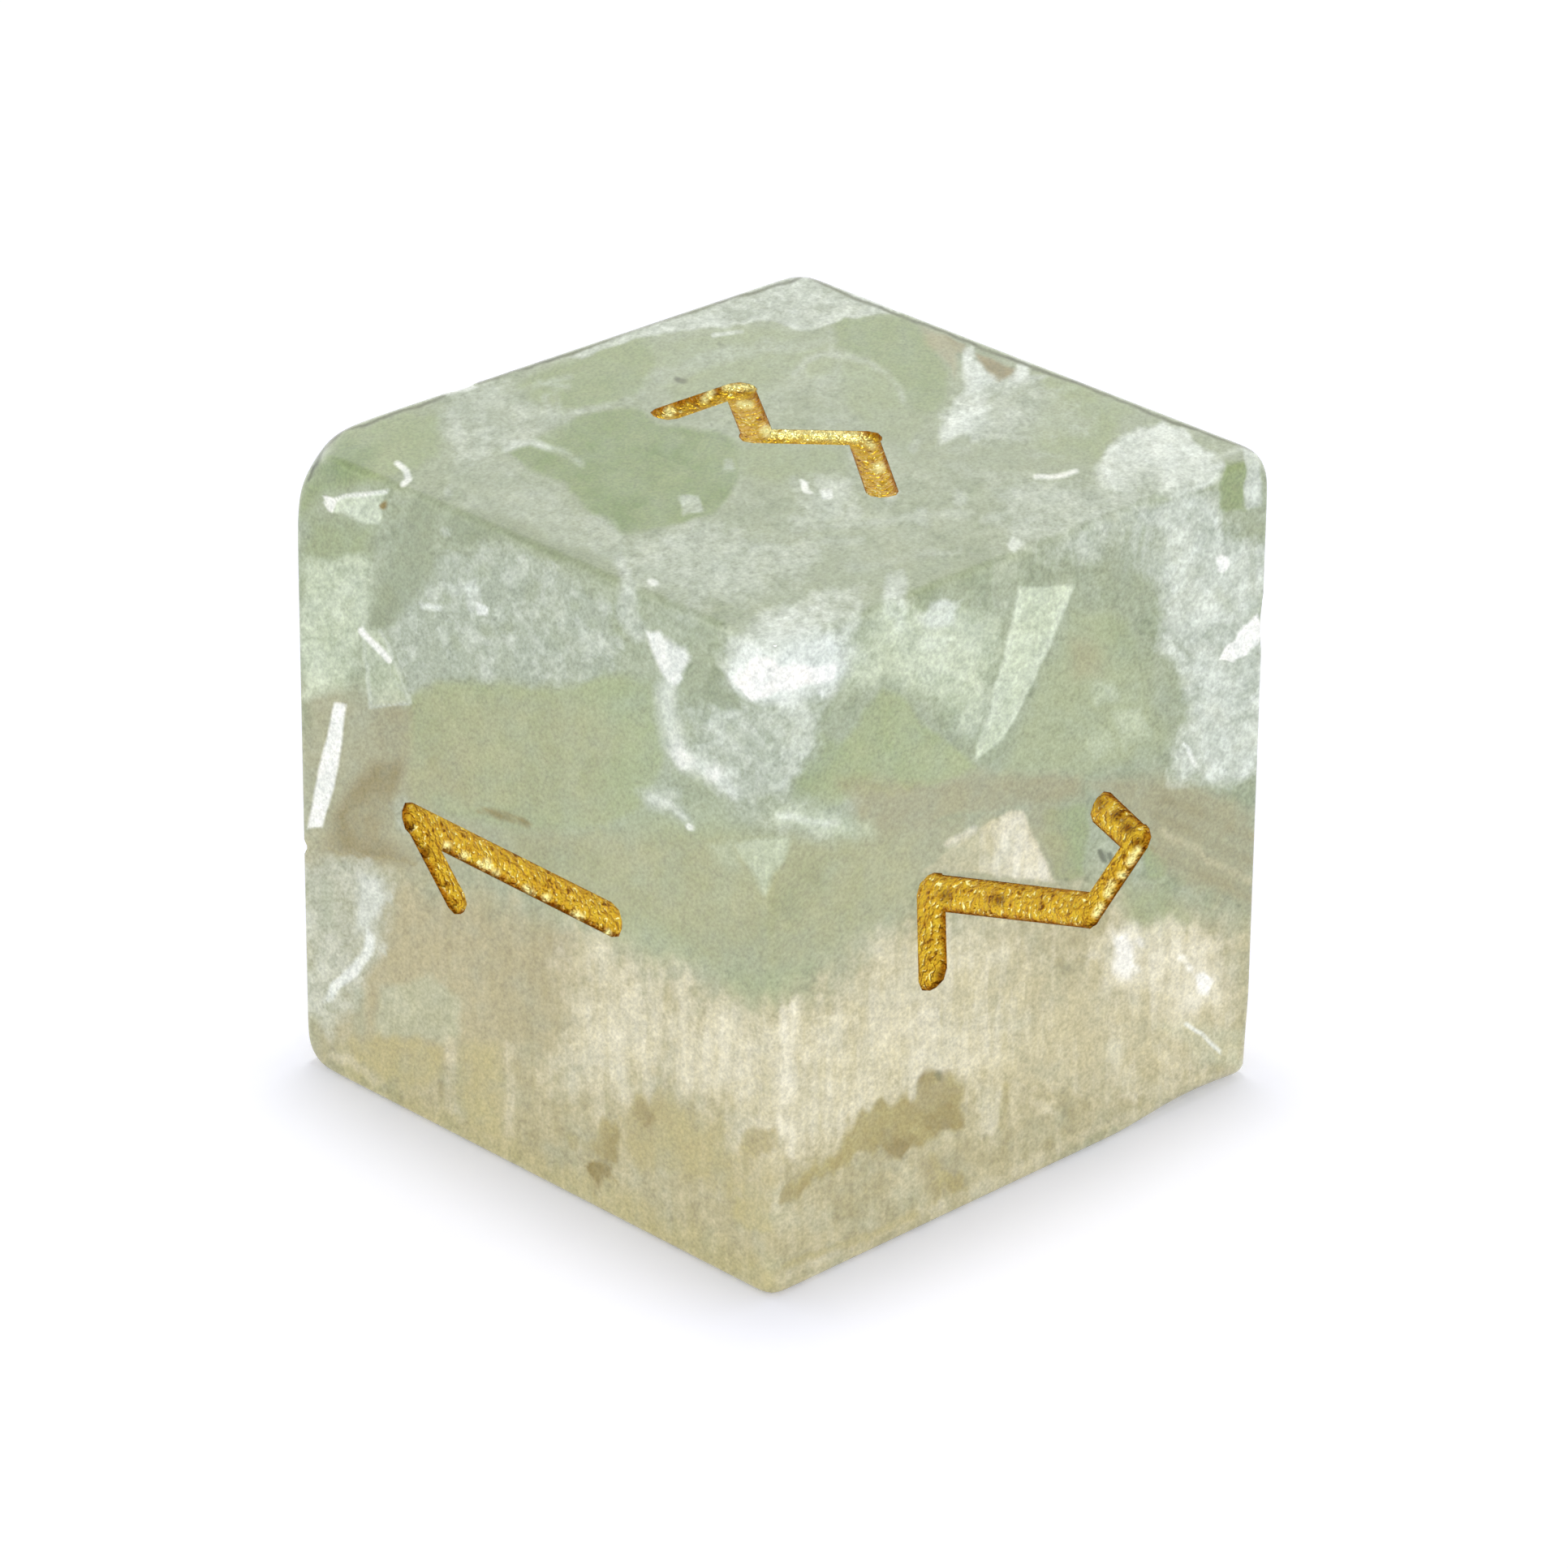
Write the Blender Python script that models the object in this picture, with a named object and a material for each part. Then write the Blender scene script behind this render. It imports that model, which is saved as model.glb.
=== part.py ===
"""Six-sided die cut from fluorite, with engraved numerals filled with gold.

The die is one polished block of stone, a little out of square, with slightly rounded
edges and some corners worn rounder than others. Each face carries a groove in the shape
of a straight-stroked numeral from 1 to 6, and each groove holds its own gold filling.
Opposite faces add up to 7. Units are metres and +Z is up. The origin is the middle of
the face that the die rests on, which carries the 4.
"""

import itertools
import math
from collections import namedtuple

import bmesh
import bpy
import numpy
from mathutils import Matrix, Vector

MM = 0.001

# The block
EDGE = 16.0 * MM
HALF = EDGE / 2
EDGE_RADIUS = 0.2 * MM

# How deep each corner's tip is worn off, by the sides that meet there along X, Y and Z
CORNER_WEAR = {
    (-1, +1, +1): 0.66 * MM,
    (+1, -1, +1): 0.30 * MM,
    (+1, +1, -1): 0.38 * MM,
    (-1, +1, -1): 0.31 * MM,
    (+1, +1, +1): 0.25 * MM,
    (-1, -1, -1): 0.19 * MM,
    (-1, -1, +1): 0.17 * MM,
    (+1, -1, -1): 0.13 * MM,
}

# The worn tip blends into the edges and faces over this share of its depth
CORNER_SOFTNESS = 0.35

# The lower edge of the 2 face is worn rounder near one end
WORN_MIDDLE = Vector((6.2 * MM, -HALF, -HALF))
WORN_RADIUS = 0.57 * MM
WORN_REACH = 3.0 * MM

# The base is ground flat, and takes in whatever is less than this above it
BASE_FLATNESS = 0.01 * MM

# Distances from the edges at which the block's faces are divided, so that they can bend
DIVISIONS = [value * MM for value in (0.06, 0.13, 0.2, 0.4, 0.7, 1.1, 1.6, 2.4, 4.0)]

# Flat parts of a face are merged again where they turn by less than this
FLAT_ANGLE = math.radians(0.3)

# Each face leans a little: its slope along X, Y and Z, in degrees. The resting face is true
FACE_LEAN = {
    (0, -1): (0.00, -0.20, 0.26),
    (0, +1): (0.00, 0.61, 0.37),
    (1, -1): (0.66, 0.00, 0.04),
    (1, +1): (-0.25, 0.00, -0.29),
    (2, -1): (0.00, 0.00, 0.00),
    (2, +1): (0.03, 0.11, 0.00),
}

# The grooves and their fillings
GROOVE_DEPTH = 0.55 * MM
CUTTER_HEIGHT = 0.4 * MM
FILLING_RECESS = 0.04 * MM
FILLING_GAP = 0.02 * MM
END_ROUNDING = 0.4
FLOOR_ROUNDING = 0.25
FLOOR_STEP = 0.012 * MM
WELD_DISTANCE = 0.00005 * MM
ROUNDING_SEGMENTS = 2

# Chips knocked out of the edges: the middle and the half sizes of each hollow
Chip = namedtuple("Chip", "name middle half_size")
CHIPS = [
    Chip("upright_edge_notch", (-HALF, HALF, -2.3 * MM), (0.25 * MM, 0.25 * MM, 0.24 * MM)),
    Chip("top_edge_flake", (-3.0 * MM, HALF, HALF), (0.55 * MM, 0.24 * MM, 0.22 * MM)),
    Chip("top_edge_nick", (HALF, 4.5 * MM, HALF), (0.18 * MM, 0.25 * MM, 0.16 * MM)),
    Chip("side_edge_flake", (HALF, -HALF, 3.8 * MM), (0.2 * MM, 0.2 * MM, 0.85 * MM)),
]
CHIP_SUBDIVISIONS = 2
CHIP_TURN = Matrix.Rotation(math.radians(20), 4, Vector((1, 1, 1)))

Face = namedtuple("Face", "outward right up")
Stroke = namedtuple("Stroke", "start end width")

# The face that carries each numeral, and which way the numeral's right and top point
FACES = {
    1: Face(Vector((-1, 0, 0)), Vector((0, 0, 1)), Vector((0, 1, 0))),
    2: Face(Vector((0, -1, 0)), Vector((0, 0, -1)), Vector((1, 0, 0))),
    3: Face(Vector((0, 0, 1)), Vector((1, 0, 0)), Vector((0, 1, 0))),
    4: Face(Vector((0, 0, -1)), Vector((0, 1, 0)), Vector((1, 0, 0))),
    5: Face(Vector((0, 1, 0)), Vector((0, 0, 1)), Vector((1, 0, 0))),
    6: Face(Vector((1, 0, 0)), Vector((0, 1, 0)), Vector((0, 0, 1))),
}


def path(points, widths):
    """Turns points and widths in millimetres into the strokes between the points."""
    ends = [Vector(point) * MM for point in points]
    return [Stroke(a, b, width * MM) for a, b, width in zip(ends, ends[1:], widths)]


# The strokes of each numeral, from the middle of its face: right and up, then the widths
NUMERALS = {
    1: path([(-0.36, -2.69), (-0.22, 3.91), (-1.71, 2.54)], [0.88, 0.80]),
    2: path([(-0.76, 2.60), (0.47, 3.81), (1.73, 2.30), (-0.52, -3.03), (1.49, -2.94)],
            [0.80, 0.86, 0.86, 0.92]),
    3: path([(-0.52, 3.39), (1.67, 3.35), (0.03, 0.94), (1.71, -0.82), (-0.15, -3.36)],
            [0.81, 0.77, 0.88, 0.75]),
    4: path([(0.90, 3.40), (-1.90, -0.90), (2.00, -0.75)], [0.82, 0.86])
    + path([(0.95, 1.10), (0.80, -3.30)], [0.84]),
    5: path([(1.60, 3.40), (-1.15, 3.15), (-1.30, 0.55), (1.60, -0.65), (-1.20, -3.35)],
            [0.82, 0.80, 0.84, 0.88]),
    6: path([(1.15, 3.45), (-1.60, -1.20), (0.10, -3.30), (1.75, -1.45), (0.05, 0.35),
             (-1.05, -0.45)],
            [0.86, 0.80, 0.84, 0.80, 0.74]),
}


def block_corner(sides):
    """The corner where three leaning faces meet, from the middle of the block."""
    normals = []
    distances = []
    for axis, side in enumerate(sides):
        slope = [math.radians(value) for value in FACE_LEAN[axis, side]]
        normals.append([float(index == axis) - slope[index] for index in range(3)])
        distances.append(side * HALF)
    return Vector(numpy.linalg.solve(normals, distances))


BLOCK_CORNERS = {
    sides: block_corner(sides) for sides in itertools.product((-1, 1), repeat=3)
}


def lean(point):
    """Moves a point of the square block to its place in the leaning one, on the ground."""
    place = Vector((0, 0, HALF))
    for sides, corner in BLOCK_CORNERS.items():
        place += corner * math.prod(
            (1 + side * value / HALF) / 2 for side, value in zip(sides, point)
        )
    return place


def nearness(point, middle, reach):
    """How near a point is to a middle: 1 there, fading to 0 at the reach."""
    return max(0.0, 1 - ((point - middle).length / reach) ** 2) ** 2


def rounded(point):
    """Moves a point of the square block onto the block with rounded edges."""
    worn = nearness(point, WORN_MIDDLE, WORN_REACH)
    radius = EDGE_RADIUS + (WORN_RADIUS - EDGE_RADIUS) * worn
    limit = HALF - radius
    core = Vector([max(-limit, min(limit, value)) for value in point])
    return core + (point - core).normalized() * radius


def with_worn_corners(point):
    """Draws a point near a corner in along the corner's diagonal."""
    place = point.copy()
    for sides, wear in CORNER_WEAR.items():
        diagonal = Vector(sides).normalized()
        softness = wear * CORNER_SOFTNESS
        excess = wear - (Vector(sides) * HALF - point).dot(diagonal)
        place -= diagonal * softness * math.log1p(math.exp(excess / softness))
    return place


def on_flat_base(point):
    """Brings a point that is almost on the base down onto it."""
    return Vector((*point.xy, 0.0)) if point.z < BASE_FLATNESS else point


def face_point(face, place):
    """A point on a leaning face, from its place right and up from the face's middle."""
    return lean(face.outward * HALF + face.right * place.x + face.up * place.y)


def new_collection(name):
    """Adds an empty collection to the scene."""
    collection = bpy.data.collections.new(name)
    bpy.context.scene.collection.children.link(collection)
    return collection


def move_to(obj, collection):
    """Takes an object out of its collections and puts it in one."""
    for owner in list(obj.users_collection):
        owner.objects.unlink(obj)
    collection.objects.link(obj)


def hide_as_cutter(obj, collection):
    """Marks an object as one that only shapes others."""
    move_to(obj, collection)
    obj.hide_render = True
    obj.display_type = "WIRE"


def add_boolean(target, operand, operation):
    """Adds a Boolean modifier to an object."""
    modifier = target.modifiers.new(f"{operation.title()} {operand.name}", "BOOLEAN")
    modifier.operation = operation
    modifier.solver = "EXACT"
    modifier.object = operand


def principled(name, colour, roughness, metallic=0.0, transmission=0.0, ior=1.5):
    """A material of one Principled BSDF."""
    material = bpy.data.materials.new(name)
    material.use_nodes = True
    material.diffuse_color = (*colour, 1.0)
    shader = material.node_tree.nodes["Principled BSDF"]
    shader.inputs["Base Color"].default_value = (*colour, 1.0)
    shader.inputs["Roughness"].default_value = roughness
    shader.inputs["Metallic"].default_value = metallic
    shader.inputs["Transmission Weight"].default_value = transmission
    shader.inputs["IOR"].default_value = ior
    return material


def divided_cube():
    """A cube whose faces are divided near their edges."""
    bpy.ops.mesh.primitive_cube_add(size=EDGE)
    obj = bpy.context.object
    shape = bmesh.new()
    shape.from_mesh(obj.data)
    for axis, side, distance in itertools.product(range(3), (-1, 1), DIVISIONS):
        normal = Vector([float(index == axis) for index in range(3)])
        bmesh.ops.bisect_plane(
            shape,
            geom=shape.verts[:] + shape.edges[:] + shape.faces[:],
            dist=MM * 1e-4,
            plane_co=normal * side * (HALF - distance),
            plane_no=normal,
        )
    return obj, shape


def make_block(collection):
    """The polished block of stone, before its grooves and chips are cut."""
    obj, shape = divided_cube()
    for vertex in shape.verts:
        vertex.co = on_flat_base(lean(with_worn_corners(rounded(vertex.co))))
    bmesh.ops.dissolve_limit(
        shape, angle_limit=FLAT_ANGLE, verts=shape.verts[:], edges=shape.edges[:]
    )
    bmesh.ops.triangulate(shape, faces=shape.faces[:])
    bmesh.ops.recalc_face_normals(shape, faces=shape.faces[:])
    shape.to_mesh(obj.data)
    shape.free()
    obj.name = obj.data.name = "fluorite_block"
    obj.data.shade_smooth()
    obj.data.set_sharp_from_angle(angle=math.radians(30))
    obj.data.materials.append(principled("polished_fluorite", (0.55, 0.60, 0.45), 0.12,
                                         transmission=0.4, ior=1.434))
    move_to(obj, collection)
    return obj


def face_frame(face):
    """The frame of a leaning face: its middle, with X to the numeral's right and Z outward."""
    middle = face_point(face, Vector((0, 0)))
    right = (face_point(face, Vector((MM, 0))) - middle).normalized()
    outward = right.cross(face_point(face, Vector((0, MM))) - middle).normalized()
    turn = Matrix((right, outward.cross(right), outward)).transposed().to_4x4()
    return Matrix.Translation(middle) @ turn


def make_stroke(start, end, width, bottom, top):
    """One straight stroke, lying flat: a box with rounded ends and a rounded floor."""
    bpy.ops.mesh.primitive_cube_add(size=1)
    obj = bpy.context.object
    shape = bmesh.new()
    shape.from_mesh(obj.data)
    along = end - start
    bmesh.ops.scale(shape, vec=(along.length + width, width, top - bottom), verts=shape.verts)
    round_edges(shape, width * END_ROUNDING, is_upright)
    round_edges(shape, width * FLOOR_ROUNDING, is_on_the_floor)
    middle = Vector((*((start + end) / 2).xy, (bottom + top) / 2))
    turn = Matrix.Rotation(math.atan2(along.y, along.x), 4, "Z")
    shape.transform(Matrix.Translation(middle) @ turn)
    shape.to_mesh(obj.data)
    shape.free()
    return obj


def is_upright(edge):
    """Whether an edge of an upright box stands up."""
    direction = (edge.verts[0].co - edge.verts[1].co).normalized()
    return abs(direction.z) > 0.9


def is_on_the_floor(edge):
    """Whether an edge borders the downward face of an upright box."""
    return any(face.normal.z < -0.9 for face in edge.link_faces) and any(
        face.normal.z > -0.9 for face in edge.link_faces
    )


def round_edges(shape, radius, chosen):
    """Rounds the chosen edges of a shape."""
    shape.normal_update()
    bmesh.ops.bevel(
        shape,
        geom=[edge for edge in shape.edges if chosen(edge)],
        offset=radius,
        offset_type="OFFSET",
        segments=ROUNDING_SEGMENTS,
        profile=0.5,
        affect="EDGES",
        material=-1,
    )


def weld(mesh):
    """Merges points that lie almost together, and the slivers between them."""
    shape = bmesh.new()
    shape.from_mesh(mesh)
    bmesh.ops.remove_doubles(shape, verts=shape.verts[:], dist=WELD_DISTANCE)
    bmesh.ops.dissolve_degenerate(shape, dist=WELD_DISTANCE, edges=shape.edges[:])
    bmesh.ops.triangulate(shape, faces=shape.faces[:])
    shape.to_mesh(mesh)
    shape.free()


def make_numeral(name, number, bottom, top, margin):
    """The joined strokes of one numeral, as one closed shape on its face.

    The bottom and the top are heights above the face, and the margin is how far the
    strokes' sides and ends are drawn in. Each stroke's floor is a step higher than the
    one before, as in a groove cut by hand.
    """
    face = FACES[number]
    frame = face_frame(face)
    strokes = []
    for index, stroke in enumerate(NUMERALS[number]):
        start, end = [
            frame.inverted() @ face_point(face, place) for place in (stroke.start, stroke.end)
        ]
        width = stroke.width - 2 * margin
        floor = bottom + index * FLOOR_STEP
        strokes.append(make_stroke(start.to_2d(), end.to_2d(), width, floor, top))
    for other in strokes[1:]:
        add_boolean(strokes[0], other, "UNION")
    evaluated = strokes[0].evaluated_get(bpy.context.evaluated_depsgraph_get())
    mesh = bpy.data.meshes.new_from_object(evaluated)
    mesh.name = name
    weld(mesh)
    mesh.transform(frame)
    for stroke in strokes:
        bpy.data.objects.remove(stroke, do_unlink=True)
    return bpy.data.objects.new(name, mesh)


def make_groove_cutter(number, cutters):
    """The shape that cuts the groove of one numeral."""
    cutter = make_numeral(f"groove_{number}", number, -GROOVE_DEPTH, CUTTER_HEIGHT, 0.0)
    hide_as_cutter(cutter, cutters)
    return cutter


def make_filling(number, gold, collection):
    """The gold in one numeral's groove, a little below the face of the stone."""
    filling = make_numeral(
        f"gold_numeral_{number}",
        number,
        FILLING_GAP - GROOVE_DEPTH,
        -FILLING_RECESS,
        FILLING_GAP,
    )
    filling.data.materials.append(gold)
    move_to(filling, collection)
    return filling


def make_chip_cutter(chip, cutters):
    """The hollow of one chip, as a squashed ball."""
    bpy.ops.mesh.primitive_ico_sphere_add(subdivisions=CHIP_SUBDIVISIONS, radius=1)
    obj = bpy.context.object
    obj.name = obj.data.name = f"chip_{chip.name}"
    place = Matrix.Translation(lean(Vector(chip.middle)))
    obj.data.transform(place @ Matrix.Diagonal((*chip.half_size, 1)) @ CHIP_TURN)
    hide_as_cutter(obj, cutters)
    return obj


def main():
    """Builds the die."""
    for obj in list(bpy.data.objects):
        bpy.data.objects.remove(obj, do_unlink=True)
    die = new_collection("gemstone_die")
    cutters = new_collection("cutters")
    block = make_block(die)
    for chip in CHIPS:
        add_boolean(block, make_chip_cutter(chip, cutters), "DIFFERENCE")
    gold = principled("gold_filling", (0.62, 0.34, 0.06), 0.35, metallic=1.0)
    for number in NUMERALS:
        add_boolean(block, make_groove_cutter(number, cutters), "DIFFERENCE")
        make_filling(number, gold, die)


main()
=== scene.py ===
"""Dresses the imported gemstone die: cloudy fluorite with gold numerals, on a pale floor."""

import logging
import math
from dataclasses import dataclass, field
from enum import Enum
from typing import Any, Callable, Union

import bmesh
import bpy
import numpy as np
from mathutils import Matrix, Vector, kdtree, noise


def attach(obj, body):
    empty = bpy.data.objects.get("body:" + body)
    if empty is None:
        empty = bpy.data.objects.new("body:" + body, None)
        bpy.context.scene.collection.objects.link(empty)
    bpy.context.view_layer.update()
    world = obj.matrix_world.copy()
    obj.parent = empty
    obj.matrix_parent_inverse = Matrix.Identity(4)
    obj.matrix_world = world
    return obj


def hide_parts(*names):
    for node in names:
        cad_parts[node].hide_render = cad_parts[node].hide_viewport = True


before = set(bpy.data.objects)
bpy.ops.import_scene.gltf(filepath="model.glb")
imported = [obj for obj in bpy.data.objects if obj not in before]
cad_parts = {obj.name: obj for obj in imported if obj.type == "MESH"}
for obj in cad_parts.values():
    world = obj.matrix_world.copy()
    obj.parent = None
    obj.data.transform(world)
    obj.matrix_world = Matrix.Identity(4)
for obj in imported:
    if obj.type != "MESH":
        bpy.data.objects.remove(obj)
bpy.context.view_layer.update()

log = logging.getLogger("gemstone_die")

MM = 0.001
EDGE = 16.0 * MM
PHOTO_SIDE = 1932
BODY = "root"
STONE_NODE = "fluorite_block"

# The direction along which the stone's veils and blotches run, close to the block's diagonal
CRYSTAL_AXIS = (-0.625, -0.656, 0.423)

# A face looks a way if its normal goes along it by more than FACING, and aside if by less than ASIDE
FACING = 0.9
ASIDE = 0.6

# Points closer than this are one, and a sum of normals shorter than this has no direction
MERGE_DISTANCE = 0.0005 * MM
LEAST_LENGTH = 1e-6

# How many softnesses from a patch's rim are told apart, and what counts as next to nothing
DEEPEST = 6.0
FAINT = 1e-3
TINY = 1e-9

# How far the rims of dots and of strokes go along with the wandering noise
DOT_RAGGED = 1.4
STROKE_RAGGED = 0.5

NUMERAL_SIDES: dict[int, Vector] = {
    1: Vector((-1, 0, 0)), 2: Vector((0, -1, 0)), 3: Vector((0, 0, 1)),
    4: Vector((0, 0, -1)), 5: Vector((0, 1, 0)), 6: Vector((1, 0, 0)),
}

Pixels = tuple[tuple[float, float], ...]
Triple = tuple[float, float, float]
Colour = tuple[float, float, float, float]
Operand = Union["Socket", float]


def linear(red: float, green: float, blue: float) -> Colour:
    """Turns a screen colour into the linear colour that a shader takes.

    Args:
        red: Red, 0 to 255.
        green: Green, 0 to 255.
        blue: Blue, 0 to 255.

    Returns:
        The linear colour, with an alpha of 1.
    """
    def channel(value: float) -> float:
        """Returns one linear channel."""
        share = value / 255
        return share / 12.92 if share <= 0.04045 else ((share + 0.055) / 1.055) ** 2.4

    return (channel(red), channel(green), channel(blue), 1.0)


@dataclass(frozen=True)
class ProductCamera:
    """The camera that took the photograph, seen from the middle of the die.

    Lengths are in edges of the die, angles in degrees.
    """

    azimuth: float = -43.60727
    elevation: float = 25.04943
    roll: float = 0.1451
    distance: float = 10.465147
    offset_right: float = -0.0023138
    offset_up: float = 0.02939
    focal_pixels: float = 8801.53
    sensor_mm: float = 36.0

    def axes(self) -> tuple[Vector, Vector, Vector]:
        """Works out how the camera is turned.

        Returns:
            The directions to the right, up and backwards of the picture.
        """
        turn, tilt, roll = (math.radians(angle) for angle in (self.azimuth, self.elevation, self.roll))
        back = Vector((math.sin(turn) * math.cos(tilt), -math.cos(turn) * math.cos(tilt),
                       math.sin(tilt)))
        right = (-back).cross(Vector((0, 0, 1))).normalized()
        up = right.cross(-back)
        return (math.cos(roll) * right + math.sin(roll) * up,
                math.cos(roll) * up - math.sin(roll) * right, back)

    def position(self) -> Vector:
        """Works out where the lens is.

        Returns:
            Its place in metres.
        """
        right, up, back = self.axes()
        middle = Vector((0, 0, EDGE / 2))
        return middle + EDGE * (self.distance * back - self.offset_right * right - self.offset_up * up)

    def build(self) -> bpy.types.Object:
        """Makes the camera and gives it to the scene.

        Returns:
            The camera object.
        """
        lens = bpy.data.cameras.new("product_camera")
        lens.sensor_width = self.sensor_mm
        lens.lens = self.sensor_mm * self.focal_pixels / PHOTO_SIDE
        lens.clip_start = MM
        camera = bpy.data.objects.new("product_camera", lens)
        turned = Matrix(self.axes()).transposed().to_4x4()
        camera.matrix_world = Matrix.Translation(self.position()) @ turned
        bpy.context.scene.collection.objects.link(camera)
        bpy.context.scene.camera = camera
        return camera

    def sight(self, points: np.ndarray) -> np.ndarray:
        """Finds where points show in the photograph.

        Args:
            points: One row of x, y and z for each point, in metres.

        Returns:
            One row of photo pixels, across and down, for each point.
        """
        right, up, back = (np.array(axis) for axis in self.axes())
        away = points - np.array(self.position())
        depth = -away @ back
        across = away @ right / depth
        down = -(away @ up) / depth
        return PHOTO_SIDE / 2 + self.focal_pixels * np.stack((across, down), axis=1)


class Layer(Enum):
    """The kinds of colour in the stone, in the order in which they lie over each other."""

    BEIGE = "beige_zone"
    GREEN = "green_window"
    TAUPE = "taupe_patch"
    CLOUD = "white_cloud"
    SHADE = "grey_shade"
    MINT = "pale_green_glow"
    FIBRE = "pale_fibre"
    OLIVE = "olive_patch"
    # Partly white cracks, partly painted glints: painted highlights off cracks and chips
    BRIGHT = "bright_crack_and_painted_glint"
    # Dark specks, and a painted shade line along the upper outline
    DARK = "dark_speck_and_painted_edge_shade"


@dataclass(frozen=True)
class Tone:
    """The two colours that a layer runs between, and how milky it is.

    Screen colours are 0 to 255.
    """

    low: Triple
    high: Triple
    milk: float


TONES: dict[Layer, Tone] = {
    Layer.BEIGE: Tone((180, 171, 130), (222, 214, 180), 0.80),
    Layer.GREEN: Tone((194, 203, 162), (126, 151, 92), 0.82),
    Layer.TAUPE: Tone((196, 186, 152), (148, 135, 88), 0.82),
    Layer.CLOUD: Tone((182, 192, 178), (242, 250, 248), 0.88),
    Layer.SHADE: Tone((182, 192, 166), (134, 147, 116), 0.85),
    Layer.MINT: Tone((196, 209, 182), (233, 244, 226), 0.88),
    Layer.FIBRE: Tone((216, 208, 174), (248, 244, 228), 0.88),
    Layer.OLIVE: Tone((212, 202, 144), (140, 121, 60), 0.85),
    # The bright layer is partly painted highlight
    Layer.BRIGHT: Tone((238, 246, 246), (255, 255, 255), 1.0),
    # The dark layer is partly a painted shade line
    Layer.DARK: Tone((120, 126, 96), (44, 50, 40), 1.0),
}


@dataclass(frozen=True)
class Patch:
    """A patch of one layer, outlined in pixels of the photograph.

    A patch with a width is a stroke along its points, and otherwise they go round it. Its
    softness is half the width in pixels over which its rim fades, and ragged says how far the
    rim goes along with the wandering noise. Its strength is how far it covers what lies under
    it, and its tone is its place between the layer's two colours. One with a fade thins out
    between the fade's two points as well.
    """

    layer: Layer
    points: Pixels
    softness: float = 8.0
    strength: float = 1.0
    tone: float = 0.5
    ragged: float = 1.0
    width: float = 0.0
    fade: Pixels = ()

    def is_near(self, pixels: np.ndarray, margin: float) -> np.ndarray:
        """Tells which pixels lie in the patch's box or within a margin of it.

        Args:
            pixels: One row of across and down for each place.
            margin: The margin in pixels.

        Returns:
            True for each place that is near.
        """
        corners = np.array(self.points, dtype=float)
        reach = margin + self.width / 2
        inside = (pixels > corners.min(axis=0) - reach) & (pixels < corners.max(axis=0) + reach)
        return np.all(inside, axis=1)

    def inside_by(self, pixels: np.ndarray) -> np.ndarray:
        """Measures how far pixels lie inside the patch.

        Args:
            pixels: One row of across and down for each place.

        Returns:
            The distance to the patch's rim, negative outside.
        """
        corners = np.array(self.points, dtype=float)
        closed = self.width == 0.0
        ends = np.roll(corners, -1, axis=0) if closed else corners[1:]
        starts = corners if closed else corners[:-1]
        nearest = np.full(len(pixels), np.inf)
        within = np.zeros(len(pixels), dtype=bool)
        for start, end in zip(starts, ends):
            side = end - start
            away = pixels - start
            along = np.clip(away @ side / max(side @ side, TINY), 0.0, 1.0)
            nearest = np.minimum(nearest, np.hypot(*(away - along[:, None] * side).T))
            if closed and abs(side[1]) > TINY:
                crosses = (start[1] > pixels[:, 1]) != (end[1] > pixels[:, 1])
                within ^= crosses & (away[:, 0] < side[0] * away[:, 1] / side[1])
        if closed:
            return np.where(within, nearest, -nearest)
        return self.width / 2 - nearest

    def faded_to(self, pixels: np.ndarray) -> np.ndarray:
        """Tells how far the fade lets the patch cover.

        Args:
            pixels: One row of across and down for each place.

        Returns:
            The most softnesses that each place may count as inside: 1 where the fade starts
            and -1 where it ends, and no limit without a fade.
        """
        if not self.fade:
            return np.full(len(pixels), np.inf)
        start, end = np.array(self.fade, dtype=float)
        return 1.0 - 2.0 * (pixels - start) @ (end - start) / ((end - start) @ (end - start))


def dots(layer: Layer, radius: float, *places: tuple[float, float], softness: float = 2.5,
         strength: float = 1.0, tone: float = 0.5) -> list[Patch]:
    """Makes round patches. Each is a wide stroke that is one pixel long.

    Args:
        layer: The layer that they belong to.
        radius: Their radius in pixels.
        places: The pixel at the middle of each one.
        softness: Half the width in pixels over which a dot's rim fades.
        strength: How far a dot covers what lies under it, 0 to 1.
        tone: The place between the layer's two colours.

    Returns:
        One patch for each place.
    """
    return [Patch(layer, ((x - 0.5, y), (x + 0.5, y)), softness, strength, tone, DOT_RAGGED, 2 * radius)
            for x, y in places]


def strokes(layer: Layer, width: float, *paths: Pixels, softness: float = 2.5, strength: float = 1.0,
            tone: float = 0.5) -> list[Patch]:
    """Makes patches that are strokes.

    Args:
        layer: The layer that they belong to.
        width: Their width in pixels.
        paths: The points along each one.
        softness: Half the width in pixels over which a stroke's rim fades.
        strength: How far a stroke covers what lies under it, 0 to 1.
        tone: The place between the layer's two colours.

    Returns:
        One patch for each path.
    """
    return [Patch(layer, path, softness, strength, tone, STROKE_RAGGED, width) for path in paths]


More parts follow.
